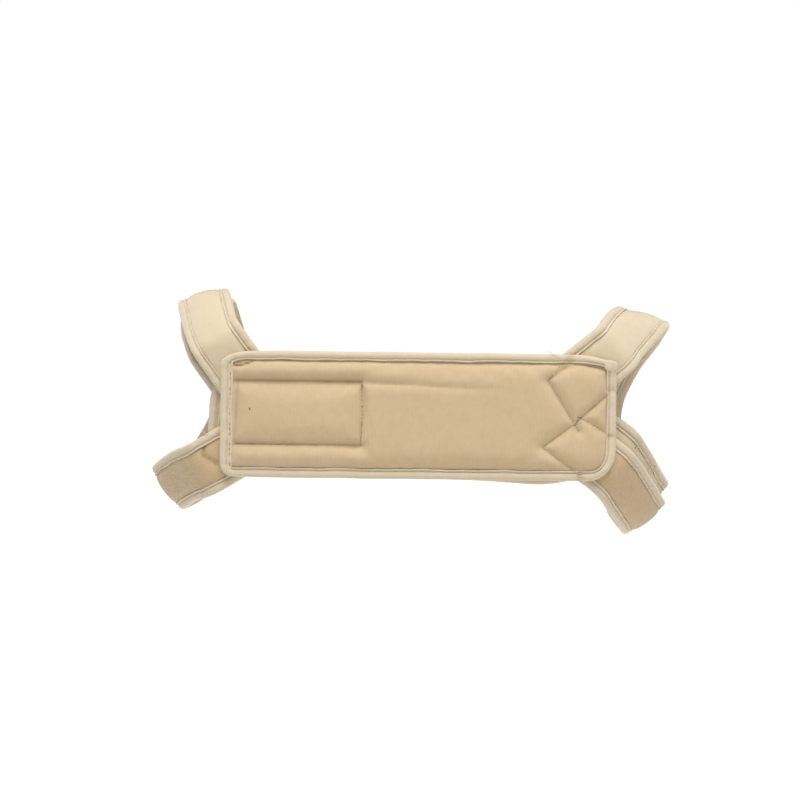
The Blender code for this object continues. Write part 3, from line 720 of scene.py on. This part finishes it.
def make_pad(name, panel, face, finish, slack=0.0):
    """The padded cloth of a panel: a fine grid of its pattern, laid twice and closed round.

    Gives the piece, and a function for its height under places on the flat pattern."""
    columns = round(2 * panel.half[0] / PANEL_GRID)
    rows = round(2 * panel.half[1] / PANEL_GRID)
    across = np.linspace(-panel.half[0], panel.half[0], columns + 1)
    up = np.linspace(-panel.half[1], panel.half[1], rows + 1)
    flat = np.stack(np.meshgrid(across, up), axis=-1).reshape(-1, 2)
    edge = panel.edge_distance(flat)
    inside = edge > TUCK
    corner = np.arange(rows)[:, None] * (columns + 1) + np.arange(columns)[None]
    corner = corner.ravel()
    cells = np.stack([corner, corner + 1, corner + columns + 2, corner + columns + 1], axis=1)
    cells = cells[inside[cells].all(axis=1)]
    used, cells = np.unique(cells, return_inverse=True)
    cells = cells.reshape(-1, 4)
    flat, edge = flat[used], edge[used]
    top, shade = face(flat, edge)
    if slack:
        sewn = np.min([drawn_down(flat, seam)[1] for seam in SEWN], axis=0)
        held = np.where((edge < TAPE_EDGE) | (sewn < 0.0010), 1.0, 0.02)
        moved = settled(flat, cells, top, held, slack)
        flat, top = flat + moved[:, :2], top + moved[:, 2]
    bottom = body_side(edge)
    count = len(flat)
    points = np.concatenate([
        panel.place(flat[:, 0], flat[:, 1], top), panel.place(flat[:, 0], flat[:, 1], bottom)])
    sides = {}
    for cell in cells:
        for a, b in zip(cell, np.roll(cell, -1)):
            sides[(a, b)] = sides.get((a, b), 0) + 1
    rim = [(a, b) for a, b in sides if (b, a) not in sides]
    faces = [list(cell) for cell in cells] + [list(cell[::-1] + count) for cell in cells]
    faces += [[b, a, a + count, b + count] for a, b in rim]
    twice = np.concatenate([flat, flat])
    coordinates = twice[np.concatenate([np.array(face) for face in faces])]
    shades = np.concatenate([shade, 0 * shade])

    def level(places):
        away = np.linalg.norm(places[:, None] - flat[None], axis=2)
        near = np.argsort(away, axis=1)[:, :3]
        height = np.take(top, near).mean(axis=1)
        inset = panel.edge_distance(places)
        over_tape = np.interp(inset / tape_width(places), TAPE_TOP[0], TAPE_TOP[1])
        return np.where(inset < TAPE_EDGE * tape_width(places), over_tape, height)

    return make_mesh(name, points, faces, coordinates, shades, finish), level


def make_patch(name, place, along, across, low, high, finish):
    """A thin hook patch, as (first, last) runs of its flat coordinates."""
    runs = [np.linspace(first, last, max(3, round((last - first) / PATCH_GRID)))
            for first, last in (along, across)]
    a, b = np.meshgrid(*runs, indexing="ij")
    b = np.concatenate([b, b[:, ::-1]], axis=1)
    a = np.concatenate([a, a], axis=1)
    half = a.shape[1] // 2
    level = np.where(np.arange(2 * half) < half, high, low)[None] + 0 * a
    points = place(a.ravel(), b.ravel(), level.ravel())
    faces, corners = skin(a.shape[0], 2 * half, False)
    flat = np.stack([a.ravel(), b.ravel()], axis=1)
    index = corners[:, 0] * 2 * half + corners[:, 1] % (2 * half)
    coordinates = [flat[index]]
    last = (a.shape[0] - 1) * 2 * half
    for start in (0, last):
        cap = list(range(start, start + 2 * half))
        faces.append(cap)
        coordinates.append(flat[cap])
    return make_mesh(name, points, faces, np.concatenate(coordinates), 0 * level.ravel(), finish)


def taken(thing):
    """A modelled form's points and faces, in the same order every time. The form itself goes."""
    points = np.array([vertex.co for vertex in thing.data.vertices])
    faces = sorted([list(face.vertices) for face in thing.data.polygons], key=sorted)
    bpy.data.objects.remove(thing)
    return points, faces


def make_fold(name, place, centre, size, turn, finish):
    """The tape's end, folded over on itself at a corner: a small squarish pillow of tape."""
    bpy.ops.object.select_all(action="DESELECT")
    bpy.ops.mesh.primitive_uv_sphere_add(segments=32, ring_count=16, radius=1.0)
    form, faces = taken(bpy.context.object)
    form = np.sign(form) * np.abs(form) ** 0.62 * size
    form[:, 2] += 0.00035 * np.cos(form[:, 0] / 0.0011)
    cos, sin = math.cos(turn), math.sin(turn)
    flat = np.stack([
        centre[0] + form[:, 0] * cos - form[:, 1] * sin,
        centre[1] + form[:, 0] * sin + form[:, 1] * cos,
    ], axis=1)
    points = place(flat[:, 0], flat[:, 1], centre[2] + form[:, 2])
    corners = np.concatenate([np.array(face) for face in faces])
    return make_mesh(name, points, faces, flat[corners], np.zeros(len(points)), finish, levels=1)


# Stitching


def stitch_form():
    """One stitch, modelled once: a small thread bead with its ends drawn down into the cloth."""
    bpy.ops.object.select_all(action="DESELECT")
    bpy.ops.mesh.primitive_uv_sphere_add(segments=7, ring_count=6, radius=0.5)
    bpy.ops.object.mode_set(mode="EDIT")
    bpy.ops.mesh.select_all(action="SELECT")
    bpy.ops.transform.rotate(value=math.pi / 2, orient_axis="Y", center_override=(0, 0, 0))
    bpy.ops.object.mode_set(mode="OBJECT")
    points, faces = taken(bpy.context.object)
    points[:, 2] -= 0.9 * points[:, 0] ** 2 * (1 + np.abs(points[:, 0]))
    return points, faces


STITCH = stitch_form()


def stitch_places(path, pitch, seed, jitter=0.08):
    """Middles and directions of the stitches along a path of flat points."""
    run = run_along(path)
    count = max(1, int(run[-1] / pitch))
    shift = np.random.default_rng(seed).uniform(-jitter, jitter, count)
    at = (np.arange(count) + 0.5 + shift) * run[-1] / count
    reach = pitch * 0.3
    ahead, back = picked(at + reach, run, path), picked(at - reach, run, path)
    return picked(at, run, path), unit(ahead - back)


def stitch_points(path, pitch, level, size, seed, turn=0.0, kept=1.0):
    """The stitches' points as flat places and heights. size is (length, width, thickness)."""
    middle, ahead = stitch_places(np.asarray(path), pitch, seed)
    rng = np.random.default_rng(seed + 100)
    if kept < 1:
        chosen = rng.random(len(middle)) < kept
        chosen[0] = True
        middle, ahead = middle[chosen], ahead[chosen]
    angle = rng.normal(turn, 0.06, len(middle))
    cos, sin = np.cos(angle)[:, None], np.sin(angle)[:, None]
    ahead = np.concatenate(
        [ahead[:, :1] * cos - ahead[:, 1:] * sin, ahead[:, :1] * sin + ahead[:, 1:] * cos], axis=1)
    beside = np.stack([-ahead[:, 1], ahead[:, 0]], axis=1)
    form, _ = STITCH
    length, width, thickness = size
    longer = length * rng.uniform(0.88, 1.08, len(middle))[:, None]
    flat = middle[:, None] + ahead[:, None] * (form[:, 0] * longer)[..., None]
    flat = flat + beside[:, None] * (form[:, 1] * width)[None, :, None]
    high = level(middle)[:, None] + (form[:, 2] * thickness)[None]
    return flat.reshape(-1, 2), high.ravel(), len(middle)


def make_stitches(name, rows, place, finish):
    """All the stitches of a piece as one mesh. rows holds stitch_points results."""
    flats, highs, counts = zip(*rows)
    flat, high = np.concatenate(flats), np.concatenate(highs)
    points = place(flat[:, 0], flat[:, 1], high)
    form, sides = STITCH
    faces = [[i + k * len(form) for i in side] for k in range(sum(counts)) for side in sides]
    corners = np.concatenate([np.array(face) for face in faces])
    return make_mesh(name, points, faces, flat[corners], np.zeros(len(points)), finish)


def edge_stitches(path, seed):
    """The tape's sewing line, through to both sides."""
    return [
        stitch_points(path, STITCH_PITCH, seam_level(GROOVE_TOP), THREAD, seed),
        stitch_points(path, STITCH_PITCH, seam_level(GROOVE_BOTTOM), THREAD, seed + 7),
    ]


def seam_level(height):
    """Stitches all at one height over the pattern."""
    return lambda middle: np.full(len(middle), height)


# Finishes


class Nodes:
    """A short way to wire a material's nodes."""

    def __init__(self, tree):
        self.tree = tree

    def add(self, kind, **settings):
        node = self.tree.nodes.new(kind)
        for key, value in settings.items():
            setattr(node, key, value)
        return node

    def link(self, source, target):
        if isinstance(source, (int, float, tuple)):
            target.default_value = source
        else:
            self.tree.links.new(source, target)

    def math(self, operation, *values):
        node = self.add("ShaderNodeMath", operation=operation)
        for value, socket in zip(values, node.inputs):
            self.link(value, socket)
        return node.outputs[0]

    def mix(self, factor, first, second, blend="MIX"):
        node = self.add("ShaderNodeMix", data_type="RGBA", blend_type=blend)
        self.link(factor, node.inputs["Factor"])
        self.link(first, node.inputs["A"])
        self.link(second, node.inputs["B"])
        return node.outputs["Result"]

    def noise(self, vector, scale, detail=2.0, roughness=0.5):
        node = self.add("ShaderNodeTexNoise")
        self.link(vector, node.inputs["Vector"])
        for name, value in (("Scale", scale), ("Detail", detail), ("Roughness", roughness)):
            node.inputs[name].default_value = value
        return node.outputs["Fac"]

    def group(self, tree, **values):
        node = self.add("ShaderNodeGroup", node_tree=tree)
        for name, value in values.items():
            self.link(value, node.inputs[name.replace("_", " ")])
        return node


def new_group(name, inputs, outputs):
    """A node group with named sockets."""
    tree = bpy.data.node_groups.new(name, "ShaderNodeTree")
    for label, kind, value in inputs:
        socket = tree.interface.new_socket(label, in_out="INPUT", socket_type=kind)
        socket.default_value = value
    for label, kind in outputs:
        tree.interface.new_socket(label, in_out="OUTPUT", socket_type=kind)
    nodes = Nodes(tree)
    start = nodes.add("NodeGroupInput")
    stop = nodes.add("NodeGroupOutput")
    return tree, nodes, start.outputs, stop.inputs


def make_knit():
    """Fine ribbed knit: upright ribs crossed by rows of loops, with a little fuzz."""
    tree, nodes, given, made = new_group(
        "ribbed knit",
        [("Flat Place", "NodeSocketVector", (0, 0, 0)), ("Rib", "NodeSocketFloat", 0.0013),
         ("Course", "NodeSocketFloat", 0.0011), ("Fuzz", "NodeSocketFloat", 0.35)],
        [("Height", "NodeSocketFloat"), ("Yarn", "NodeSocketFloat")],
    )
    parts = nodes.add("ShaderNodeSeparateXYZ")
    nodes.link(given["Flat Place"], parts.inputs[0])
    tau = 2 * math.pi
    u = nodes.math("MULTIPLY", nodes.math("DIVIDE", parts.outputs["X"], given["Rib"]), tau)
    v = nodes.math("MULTIPLY", nodes.math("DIVIDE", parts.outputs["Y"], given["Course"]), tau)
    rib = nodes.math("MULTIPLY_ADD", nodes.math("SINE", u), 0.5, 0.5)
    slant = nodes.math("ADD", v, nodes.math("MULTIPLY", rib, 2.0))
    loop = nodes.math("MULTIPLY_ADD", nodes.math("SINE", slant), 0.5, 0.5)
    yarn = nodes.math("MULTIPLY", rib, nodes.math("MULTIPLY_ADD", loop, 0.45, 0.55))
    fuzz = nodes.noise(given["Flat Place"], 2600.0, 2.0, 0.6)
    fuzz = nodes.math("MULTIPLY", fuzz, given["Fuzz"])
    nodes.link(nodes.math("ADD", yarn, fuzz), made["Height"])
    blur = nodes.math("MULTIPLY", fuzz, 0.6)
    nodes.link(nodes.math("MULTIPLY_ADD", yarn, 0.7, blur), made["Yarn"])
    return tree


def make_soil():
    """Slow changes of tone over the cloth, and a few faint rubbed patches."""
    tree, nodes, given, made = new_group(
        "handling", [("Place", "NodeSocketVector", (0, 0, 0)), ("Size", "NodeSocketFloat", 0.05)],
        [("Tone", "NodeSocketFloat"), ("Rubbed", "NodeSocketFloat")],
    )
    scaled = nodes.add("ShaderNodeVectorMath", operation="DIVIDE")
    nodes.link(given["Place"], scaled.inputs[0])
    size = nodes.add("ShaderNodeCombineXYZ")
    for socket in size.inputs:
        nodes.link(given["Size"], socket)
    nodes.link(size.outputs[0], scaled.inputs[1])
    tone = nodes.noise(scaled.outputs[0], 1.0, 3.0, 0.55)
    nodes.link(nodes.math("MULTIPLY_ADD", tone, 2.0, -0.5), made["Tone"])
    fine = nodes.noise(scaled.outputs[0], 9.0, 3.0, 0.6)
    nodes.link(nodes.math("MULTIPLY_ADD", fine, 2.4, -0.7), made["Rubbed"])
    return tree


KNIT = make_knit()
SOIL = make_soil()


def make_cloth(name, light, dark, worn, rib, course, bump, roughness, sheen):
    """A cloth: two yarn tones by the knit, slow changes of tone, and painted shade in its grooves
    and seams.
    """
    made = bpy.data.materials.new(name)
    made.use_nodes = True
    nodes = Nodes(made.node_tree)
    shader = made.node_tree.nodes["Principled BSDF"]
    flat = nodes.add("ShaderNodeUVMap", uv_map="UVMap")
    place = nodes.add("ShaderNodeTexCoord")
    knit = nodes.group(KNIT, Flat_Place=flat.outputs[0], Rib=rib, Course=course)
    soil = nodes.group(SOIL, Place=place.outputs["Object"], Size=0.06)
    colour = nodes.mix(knit.outputs["Yarn"], dark, light)
    tone = nodes.math("MULTIPLY", soil.outputs["Tone"], 0.16)
    colour = nodes.mix(tone, colour, worn)
    rubbed = nodes.math("MULTIPLY", soil.outputs["Rubbed"], 0.05)
    colour = nodes.mix(rubbed, colour, (1.0, 0.95, 0.85, 1.0))
    # Painted shade: the shade attribute mixes the colour towards a dark brown, taken from the
    # handled tone, in grooves, seams and hidden faces.
    shade = nodes.add("ShaderNodeAttribute", attribute_name="shade")
    painted_shade_colour = tuple(value * share for value, share in zip(worn[:3], (0.42, 0.36, 0.30))) + (1.0,)
    colour = nodes.mix(shade.outputs["Fac"], colour, painted_shade_colour)
    nodes.link(colour, shader.inputs["Base Color"])
    raised = nodes.add("ShaderNodeBump")
    raised.inputs["Strength"].default_value = bump
    raised.inputs["Distance"].default_value = 0.0004
    nodes.link(knit.outputs["Height"], raised.inputs["Height"])
    nodes.link(raised.outputs["Normal"], shader.inputs["Normal"])
    shader.inputs["Roughness"].default_value = roughness
    shader.inputs["Sheen Weight"].default_value = sheen
    shader.inputs["Sheen Roughness"].default_value = 0.45
    shader.inputs["Sheen Tint"].default_value = (1.0, 0.93, 0.82, 1.0)
    shader.inputs["Specular IOR Level"].default_value = 0.25
    return made


def make_plain(name, colour, roughness):
    """A plain finish, for the floor."""
    made = bpy.data.materials.new(name)
    made.use_nodes = True
    shader = made.node_tree.nodes["Principled BSDF"]
    shader.inputs["Base Color"].default_value = colour
    shader.inputs["Roughness"].default_value = roughness
    shader.inputs["Specular IOR Level"].default_value = 0.2
    return made


FABRIC = make_cloth(
    "padded cloth", (0.560, 0.420, 0.246, 1), (0.465, 0.340, 0.192, 1), (0.455, 0.325, 0.184, 1),
    0.0012, 0.0010, 0.30, 0.92, 0.60)
PALE_STRAP = make_cloth(
    "pale strap cloth", (0.640, 0.530, 0.352, 1), (0.510, 0.412, 0.262, 1),
    (0.540, 0.432, 0.275, 1), 0.0012, 0.0011, 0.26, 0.92, 0.90)
WARM_STRAP = make_cloth(
    "warm strap cloth", (0.550, 0.392, 0.215, 1), (0.405, 0.285, 0.152, 1),
    (0.440, 0.310, 0.165, 1), 0.0014, 0.0013, 0.42, 0.92, 0.60)
TAPE = make_cloth(
    "edge tape", (0.590, 0.492, 0.350, 1), (0.530, 0.434, 0.300, 1), (0.460, 0.365, 0.240, 1),
    0.0009, 0.0008, 0.18, 0.85, 0.55)
HOOK = make_cloth(
    "hook tape", (0.600, 0.480, 0.330, 1), (0.440, 0.340, 0.220, 1), (0.500, 0.390, 0.260, 1),
    0.0018, 0.0018, 0.8, 0.7, 0.1)
LIGHT_THREAD = make_cloth(
    "sewing thread", (0.700, 0.585, 0.420, 1), (0.500, 0.400, 0.270, 1), (0.560, 0.450, 0.300, 1),
    0.0006, 0.0006, 0.3, 0.7, 0.1)
DARK_THREAD = make_cloth(
    "brown thread", (0.230, 0.145, 0.074, 1), (0.140, 0.088, 0.044, 1), (0.150, 0.095, 0.048, 1),
    0.0006, 0.0006, 0.3, 0.7, 0.1)


def dress(piece, node):
    """Hides the solid that a piece stands for, if any, and gives back the piece."""
    if node:
        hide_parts(node)
    return piece


# The brace

inner = Panel(INNER_HEIGHT, INNER_CORNERS, INNER_SHIFT, INNER_TILT, inner_base)
outer = Panel(OUTER_HEIGHT, OUTER_CORNERS, (0.0, 0.0), OUTER_TILT, outer_base)
left, right = Loop(LEFT_STATIONS, LEFT_SIDE), Loop(RIGHT_STATIONS, RIGHT_SIDE)


def tape_width(edge):
    """How wide the panels' tape was folded round the edge: widest at the left end."""
    x, z = edge[:, 0] / (PANEL_LENGTH / 2), edge[:, 1] / (OUTER_HEIGHT / 2)
    left = smooth((-x - 0.93) / 0.05)
    top, bottom = smooth((z - 0.8) / 0.15), smooth((-z - 0.8) / 0.15)
    return 1.0 + 0.24 * left * (1 - top) - 0.13 * top - 0.02 * bottom


def tape_groove(panel):
    """The line of the sewn groove on the flat pattern, all round."""
    edge = panel.outline(0.0)
    return edge + (panel.outline(TAPE_GROOVE) - edge) * tape_width(edge)[:, None]


def dress_panel(name, panel, face, seed, slack=0.0, shaped=None, loose=()):
    """A panel's cloth, folded tape and stitches. Gives the height of its face at flat places."""
    pad, level = make_pad(name + "_cloth", panel, face, FABRIC, slack)
    dress(pad, name)
    tape = make_tape(
        name + "_edge", panel.outline, panel.place, True, TAPE, seed, tape_width, shaped)
    dress(tape, name + "_tape")
    path = tape_groove(panel)
    rows = edge_stitches(np.concatenate([path, path[:1]]), seed)
    rows += [
        stitch_points(path, pitch, level, size, seed + 20 + k)
        for k, (path, pitch, size) in enumerate(loose)
    ]
    dress(make_stitches(name + "_stitches", rows, panel.place, LIGHT_THREAD), None)
    return level


def dress_strap(name, strap, finish, puff, start, seed, pressed=None, loose=()):
    """A strap's cloth, folded tape and stitches. It is full by puff, from start past its seam."""
    pad = make_strap(name + "_cloth", strap, puff, start, finish, seed, pressed)
    dress(pad, name)
    tape = make_tape(name + "_edge", strap.outline, strap.place, False, TAPE, seed + 2)
    dress(tape, name + "_tape")
    path = strap.outline(TAPE_GROOVE)
    rows = edge_stitches(path, seed)
    rows += [
        stitch_points(path, LOOSE_PITCH, lambda middle: np.interp(
            np.linspace(0, 1, len(middle)), np.linspace(0, 1, len(levels)), levels),
            LOOSE_THREAD, seed + 20 + k)
        for k, (path, levels) in enumerate(loose)
    ]
    dress(make_stitches(name + "_stitches", rows, strap.place, LIGHT_THREAD), None)


dress_panel("inner_panel", inner, inner_face, 11)
# On the folded tape end, two loose rows at the lower right, and two cut thread hairs at the top,
# as (path, pitch, size of one stitch)
extra_lines = (
    (((0.1640, 0.0404), (0.1735, 0.0398)), 0.0016, (0.0015, 0.00050, 0.00050)),
    (((0.1330, -0.0478), (0.1500, -0.0500), (0.1640, -0.0450)), 0.0026, THREAD),
    (((0.1350, -0.0512), (0.1520, -0.0522), (0.1665, -0.0455)), 0.0026, THREAD),
    (((0.1125, 0.0592), (0.1160, 0.0552), (0.1210, 0.0530)), 0.0007, HAIR),
    (((0.1150, 0.0585), (0.1185, 0.0545), (0.1230, 0.0525)), 0.0007, HAIR),
)
outer_level = dress_panel(
    "outer_panel", outer, outer_face, 23, slack=0.009, shaped=tape_shape, loose=extra_lines)
fold = make_fold("outer_panel_fold", outer.place, (0.1697, 0.0462, 0.0054),
                 (0.0056, 0.0050, 0.0030), -0.25, TAPE)
dress(fold, None)
dress_strap("left_short_strap", Strap(left, 0.0, LEFT_SHORT_END), PALE_STRAP, 0.0012, 0.010, 31)
# On the left long strap: the corner of its sewn end, pressed through with a painted line of shade,
# and a loose thread end, as a path along and across the strap and its heights
hidden_corner = Seam(((0.5290, -0.0230), (0.5265, -0.0210), (0.5203, -0.0100), (0.5271, 0.0010),
                      (0.5320, 0.0080)), (0.0008, 0.0014, 0.0014, 0.0014, 0.0008), 0.0060, 0.60)
loose_end = (((0.5335, -0.0235), (0.5310, -0.0275), (0.5265, -0.0325), (0.5230, -0.0385),
              (0.5184, -0.0405)), (0.0058, 0.0066, 0.0068, 0.0062, 0.0060))
dress_strap("left_long_strap", Strap(left, 1.0, LEFT_LONG_START, LEFT_LONG_LAY), WARM_STRAP,
            0.0010, 0.010, 43, hidden_corner, [loose_end])
right_long = Strap(right, 0.0, RIGHT_LONG_END, RIGHT_LONG_LAY)
dress_strap("right_long_strap", right_long, PALE_STRAP, 0.0010, 0.025, 57)
dress_strap("right_short_strap", Strap(right, 1.0, RIGHT_SHORT_START), WARM_STRAP,
            0.0012, 0.025, 61)

# The outer panel's own seams, in brown thread that shows where the cloth isn't closed over it,
# as (path, pitch, share of stitches that show, size of one stitch)
seam_rows = (
    (((BOX_RIGHT, BOX_TOP - 0.001), (BOX_RIGHT + 0.0007, 0.0), (BOX_RIGHT - 0.0008, BOX_LOW)),
     0.0031, 0.80, (0.0023, 0.00062, 0.00050)),
    (((-0.0850, BOX_TOP), (BOX_RIGHT, BOX_TOP)), 0.0030, 0.60, FINE_THREAD),
    (((BOX_LEFT, BOX_LOW + 0.0006), (BOX_RIGHT, BOX_LOW)), 0.0030, 0.38, FINE_THREAD),
    (((0.1306, 0.0528), (0.1134, 0.0325), (0.1414, -0.0120)), 0.0024, 0.82, SEAM_THREAD),
    (((0.1360, -0.0086), (0.1415, -0.0010), (0.1680, 0.0215)), 0.0024, 0.82, SEAM_THREAD),
    (((0.1445, -0.0530), (0.1090, -0.0262), (0.1410, -0.0030)), 0.0024, 0.82, SEAM_THREAD),
    (((0.1380, -0.0030), (0.1430, 0.0005), (0.1710, -0.0160)), 0.0024, 0.85, FINE_THREAD),
    (((0.1372, -0.0065), (0.1440, -0.0040)), 0.0015, 1.0, (0.0026, 0.00050, 0.00042)),
    (((0.1385, 0.0015), (0.1462, -0.0020)), 0.0015, 1.0, (0.0024, 0.00050, 0.00042)),
    (((0.1352, -0.0120), (0.1405, -0.0020)), 0.0017, 0.9, (0.0022, 0.00050, 0.00042)),
)
rows = [
    stitch_points(path, pitch, outer_level, size, 200 + k, kept=kept)
    for k, (path, pitch, kept, size) in enumerate(seam_rows)
]
groove = tape_groove(outer)
left_side = groove[(groove[:, 0] < -0.162) & (np.abs(groove[:, 1]) < 0.047)]
rows.append(stitch_points(left_side + (0.0004, 0), 0.0043, seam_level(GROOVE_TOP + 0.0002),
                          (0.0026, 0.00060, 0.00060), 230, kept=0.85))
panel_knots = ((-0.0497, 0.0262, 1.0), (-0.0492, 0.0249, 1.0), (-0.0495, 0.0080, 1.0),
               (-0.0494, -0.0076, 1.0), (-0.0498, -0.0150, 1.0), (-0.1483, 0.0044, 1.7))
for k, (x, z, size) in enumerate(panel_knots):
    rows.append(stitch_points(((x, z - HALF_KNOT), (x + 0.0003, z + HALF_KNOT)), 2 * HALF_KNOT,
                              outer_level, (0.0019 * size, 0.0010 * size, 0.0008), 240 + k,
                              turn=0.5))
dress(make_stitches("outer_panel_seams", rows, outer.place, DARK_THREAD), None)
strap_knots = ((0.5026, 0.0140, 0.0060), (0.4635, 0.0205, 0.0062))
rows = [
    stitch_points(((along - HALF_KNOT, across), (along + HALF_KNOT, across + 0.0003)),
                  2 * HALF_KNOT, seam_level(height), (0.0020, 0.0011, 0.0009), 260 + k)
    for k, (along, across, height) in enumerate(strap_knots)
]
dress(make_stitches("right_long_strap_knots", rows, right_long.place, DARK_THREAD),
      None)

patch = make_patch(
    "panel_hook_cloth", outer.place, (BOX_LEFT + HOOK_MARGIN, BOX_RIGHT - HOOK_MARGIN),
    (BOX_LOW + HOOK_MARGIN, BOX_TOP - HOOK_MARGIN), -CLEARANCE - PATCH_THICKNESS, -CLEARANCE, HOOK)
dress(patch, "panel_hook_patch")
for name, loop, (first, last) in (("left", left, LEFT_HOOK), ("right", right, RIGHT_HOOK)):
    patch = make_patch(
        name + "_strap_hook_cloth", loop.place, (first * loop.length, last * loop.length),
        (-STRAP_HOOK_WIDTH / 2, STRAP_HOOK_WIDTH / 2),
        -STRAP_HOOK_GAP - PATCH_THICKNESS, -STRAP_HOOK_GAP, HOOK)
    dress(patch, name + "_strap_hook_patch")

# Camera, light and floor

bpy.ops.object.camera_add(location=(-0.0162, -1.418, 0.014), rotation=(math.pi / 2, 0, 0))
camera = bpy.context.object
camera.data.sensor_width = 36.0
camera.data.lens = 72.0
bpy.context.scene.camera = camera

bpy.ops.mesh.primitive_plane_add(size=200.0, location=(0, 0, -0.50))
floor = bpy.context.object
floor.name = "floor"
floor.data.materials.append(make_plain("pale floor", (0.80, 0.80, 0.80, 1), 0.95))


def make_light(name, kind, place, energy, **shape):
    """A soft light that looks at the brace."""
    bpy.ops.object.light_add(type=kind, location=place)
    light = bpy.context.object
    light.name = name
    light.data.energy = energy
    for key, value in shape.items():
        setattr(light.data, key, value)
    x, y, z = place
    light.rotation_euler = (math.atan2(math.hypot(x, y), z), 0, math.atan2(y, x) + math.pi / 2)


make_light("overhead light", "SUN", (0.03, -0.55, 1.45), 4.4, angle=math.radians(40),
           color=(0.97, 0.98, 1.0))
make_light("front light", "AREA", (0.4, -1.9, 0.3), 3.2, size=1.2, color=(1.0, 0.93, 0.84))

world = bpy.data.worlds.new("studio")
world.use_nodes = True
nodes = Nodes(world.node_tree)
soft, seen = world.node_tree.nodes["Background"], nodes.add("ShaderNodeBackground")
soft.inputs["Color"].default_value = (0.95, 0.97, 1.0, 1)
soft.inputs["Strength"].default_value = 0.19
seen.inputs["Color"].default_value = (1.0, 1.0, 1.0, 1)
chosen = nodes.add("ShaderNodeMixShader")
nodes.link(nodes.add("ShaderNodeLightPath").outputs["Is Camera Ray"], chosen.inputs[0])
nodes.link(soft.outputs[0], chosen.inputs[1])
nodes.link(seen.outputs[0], chosen.inputs[2])
nodes.link(chosen.outputs[0], world.node_tree.nodes["World Output"].inputs["Surface"])
bpy.context.scene.world = world
bpy.context.scene.view_settings.view_transform = "Standard"
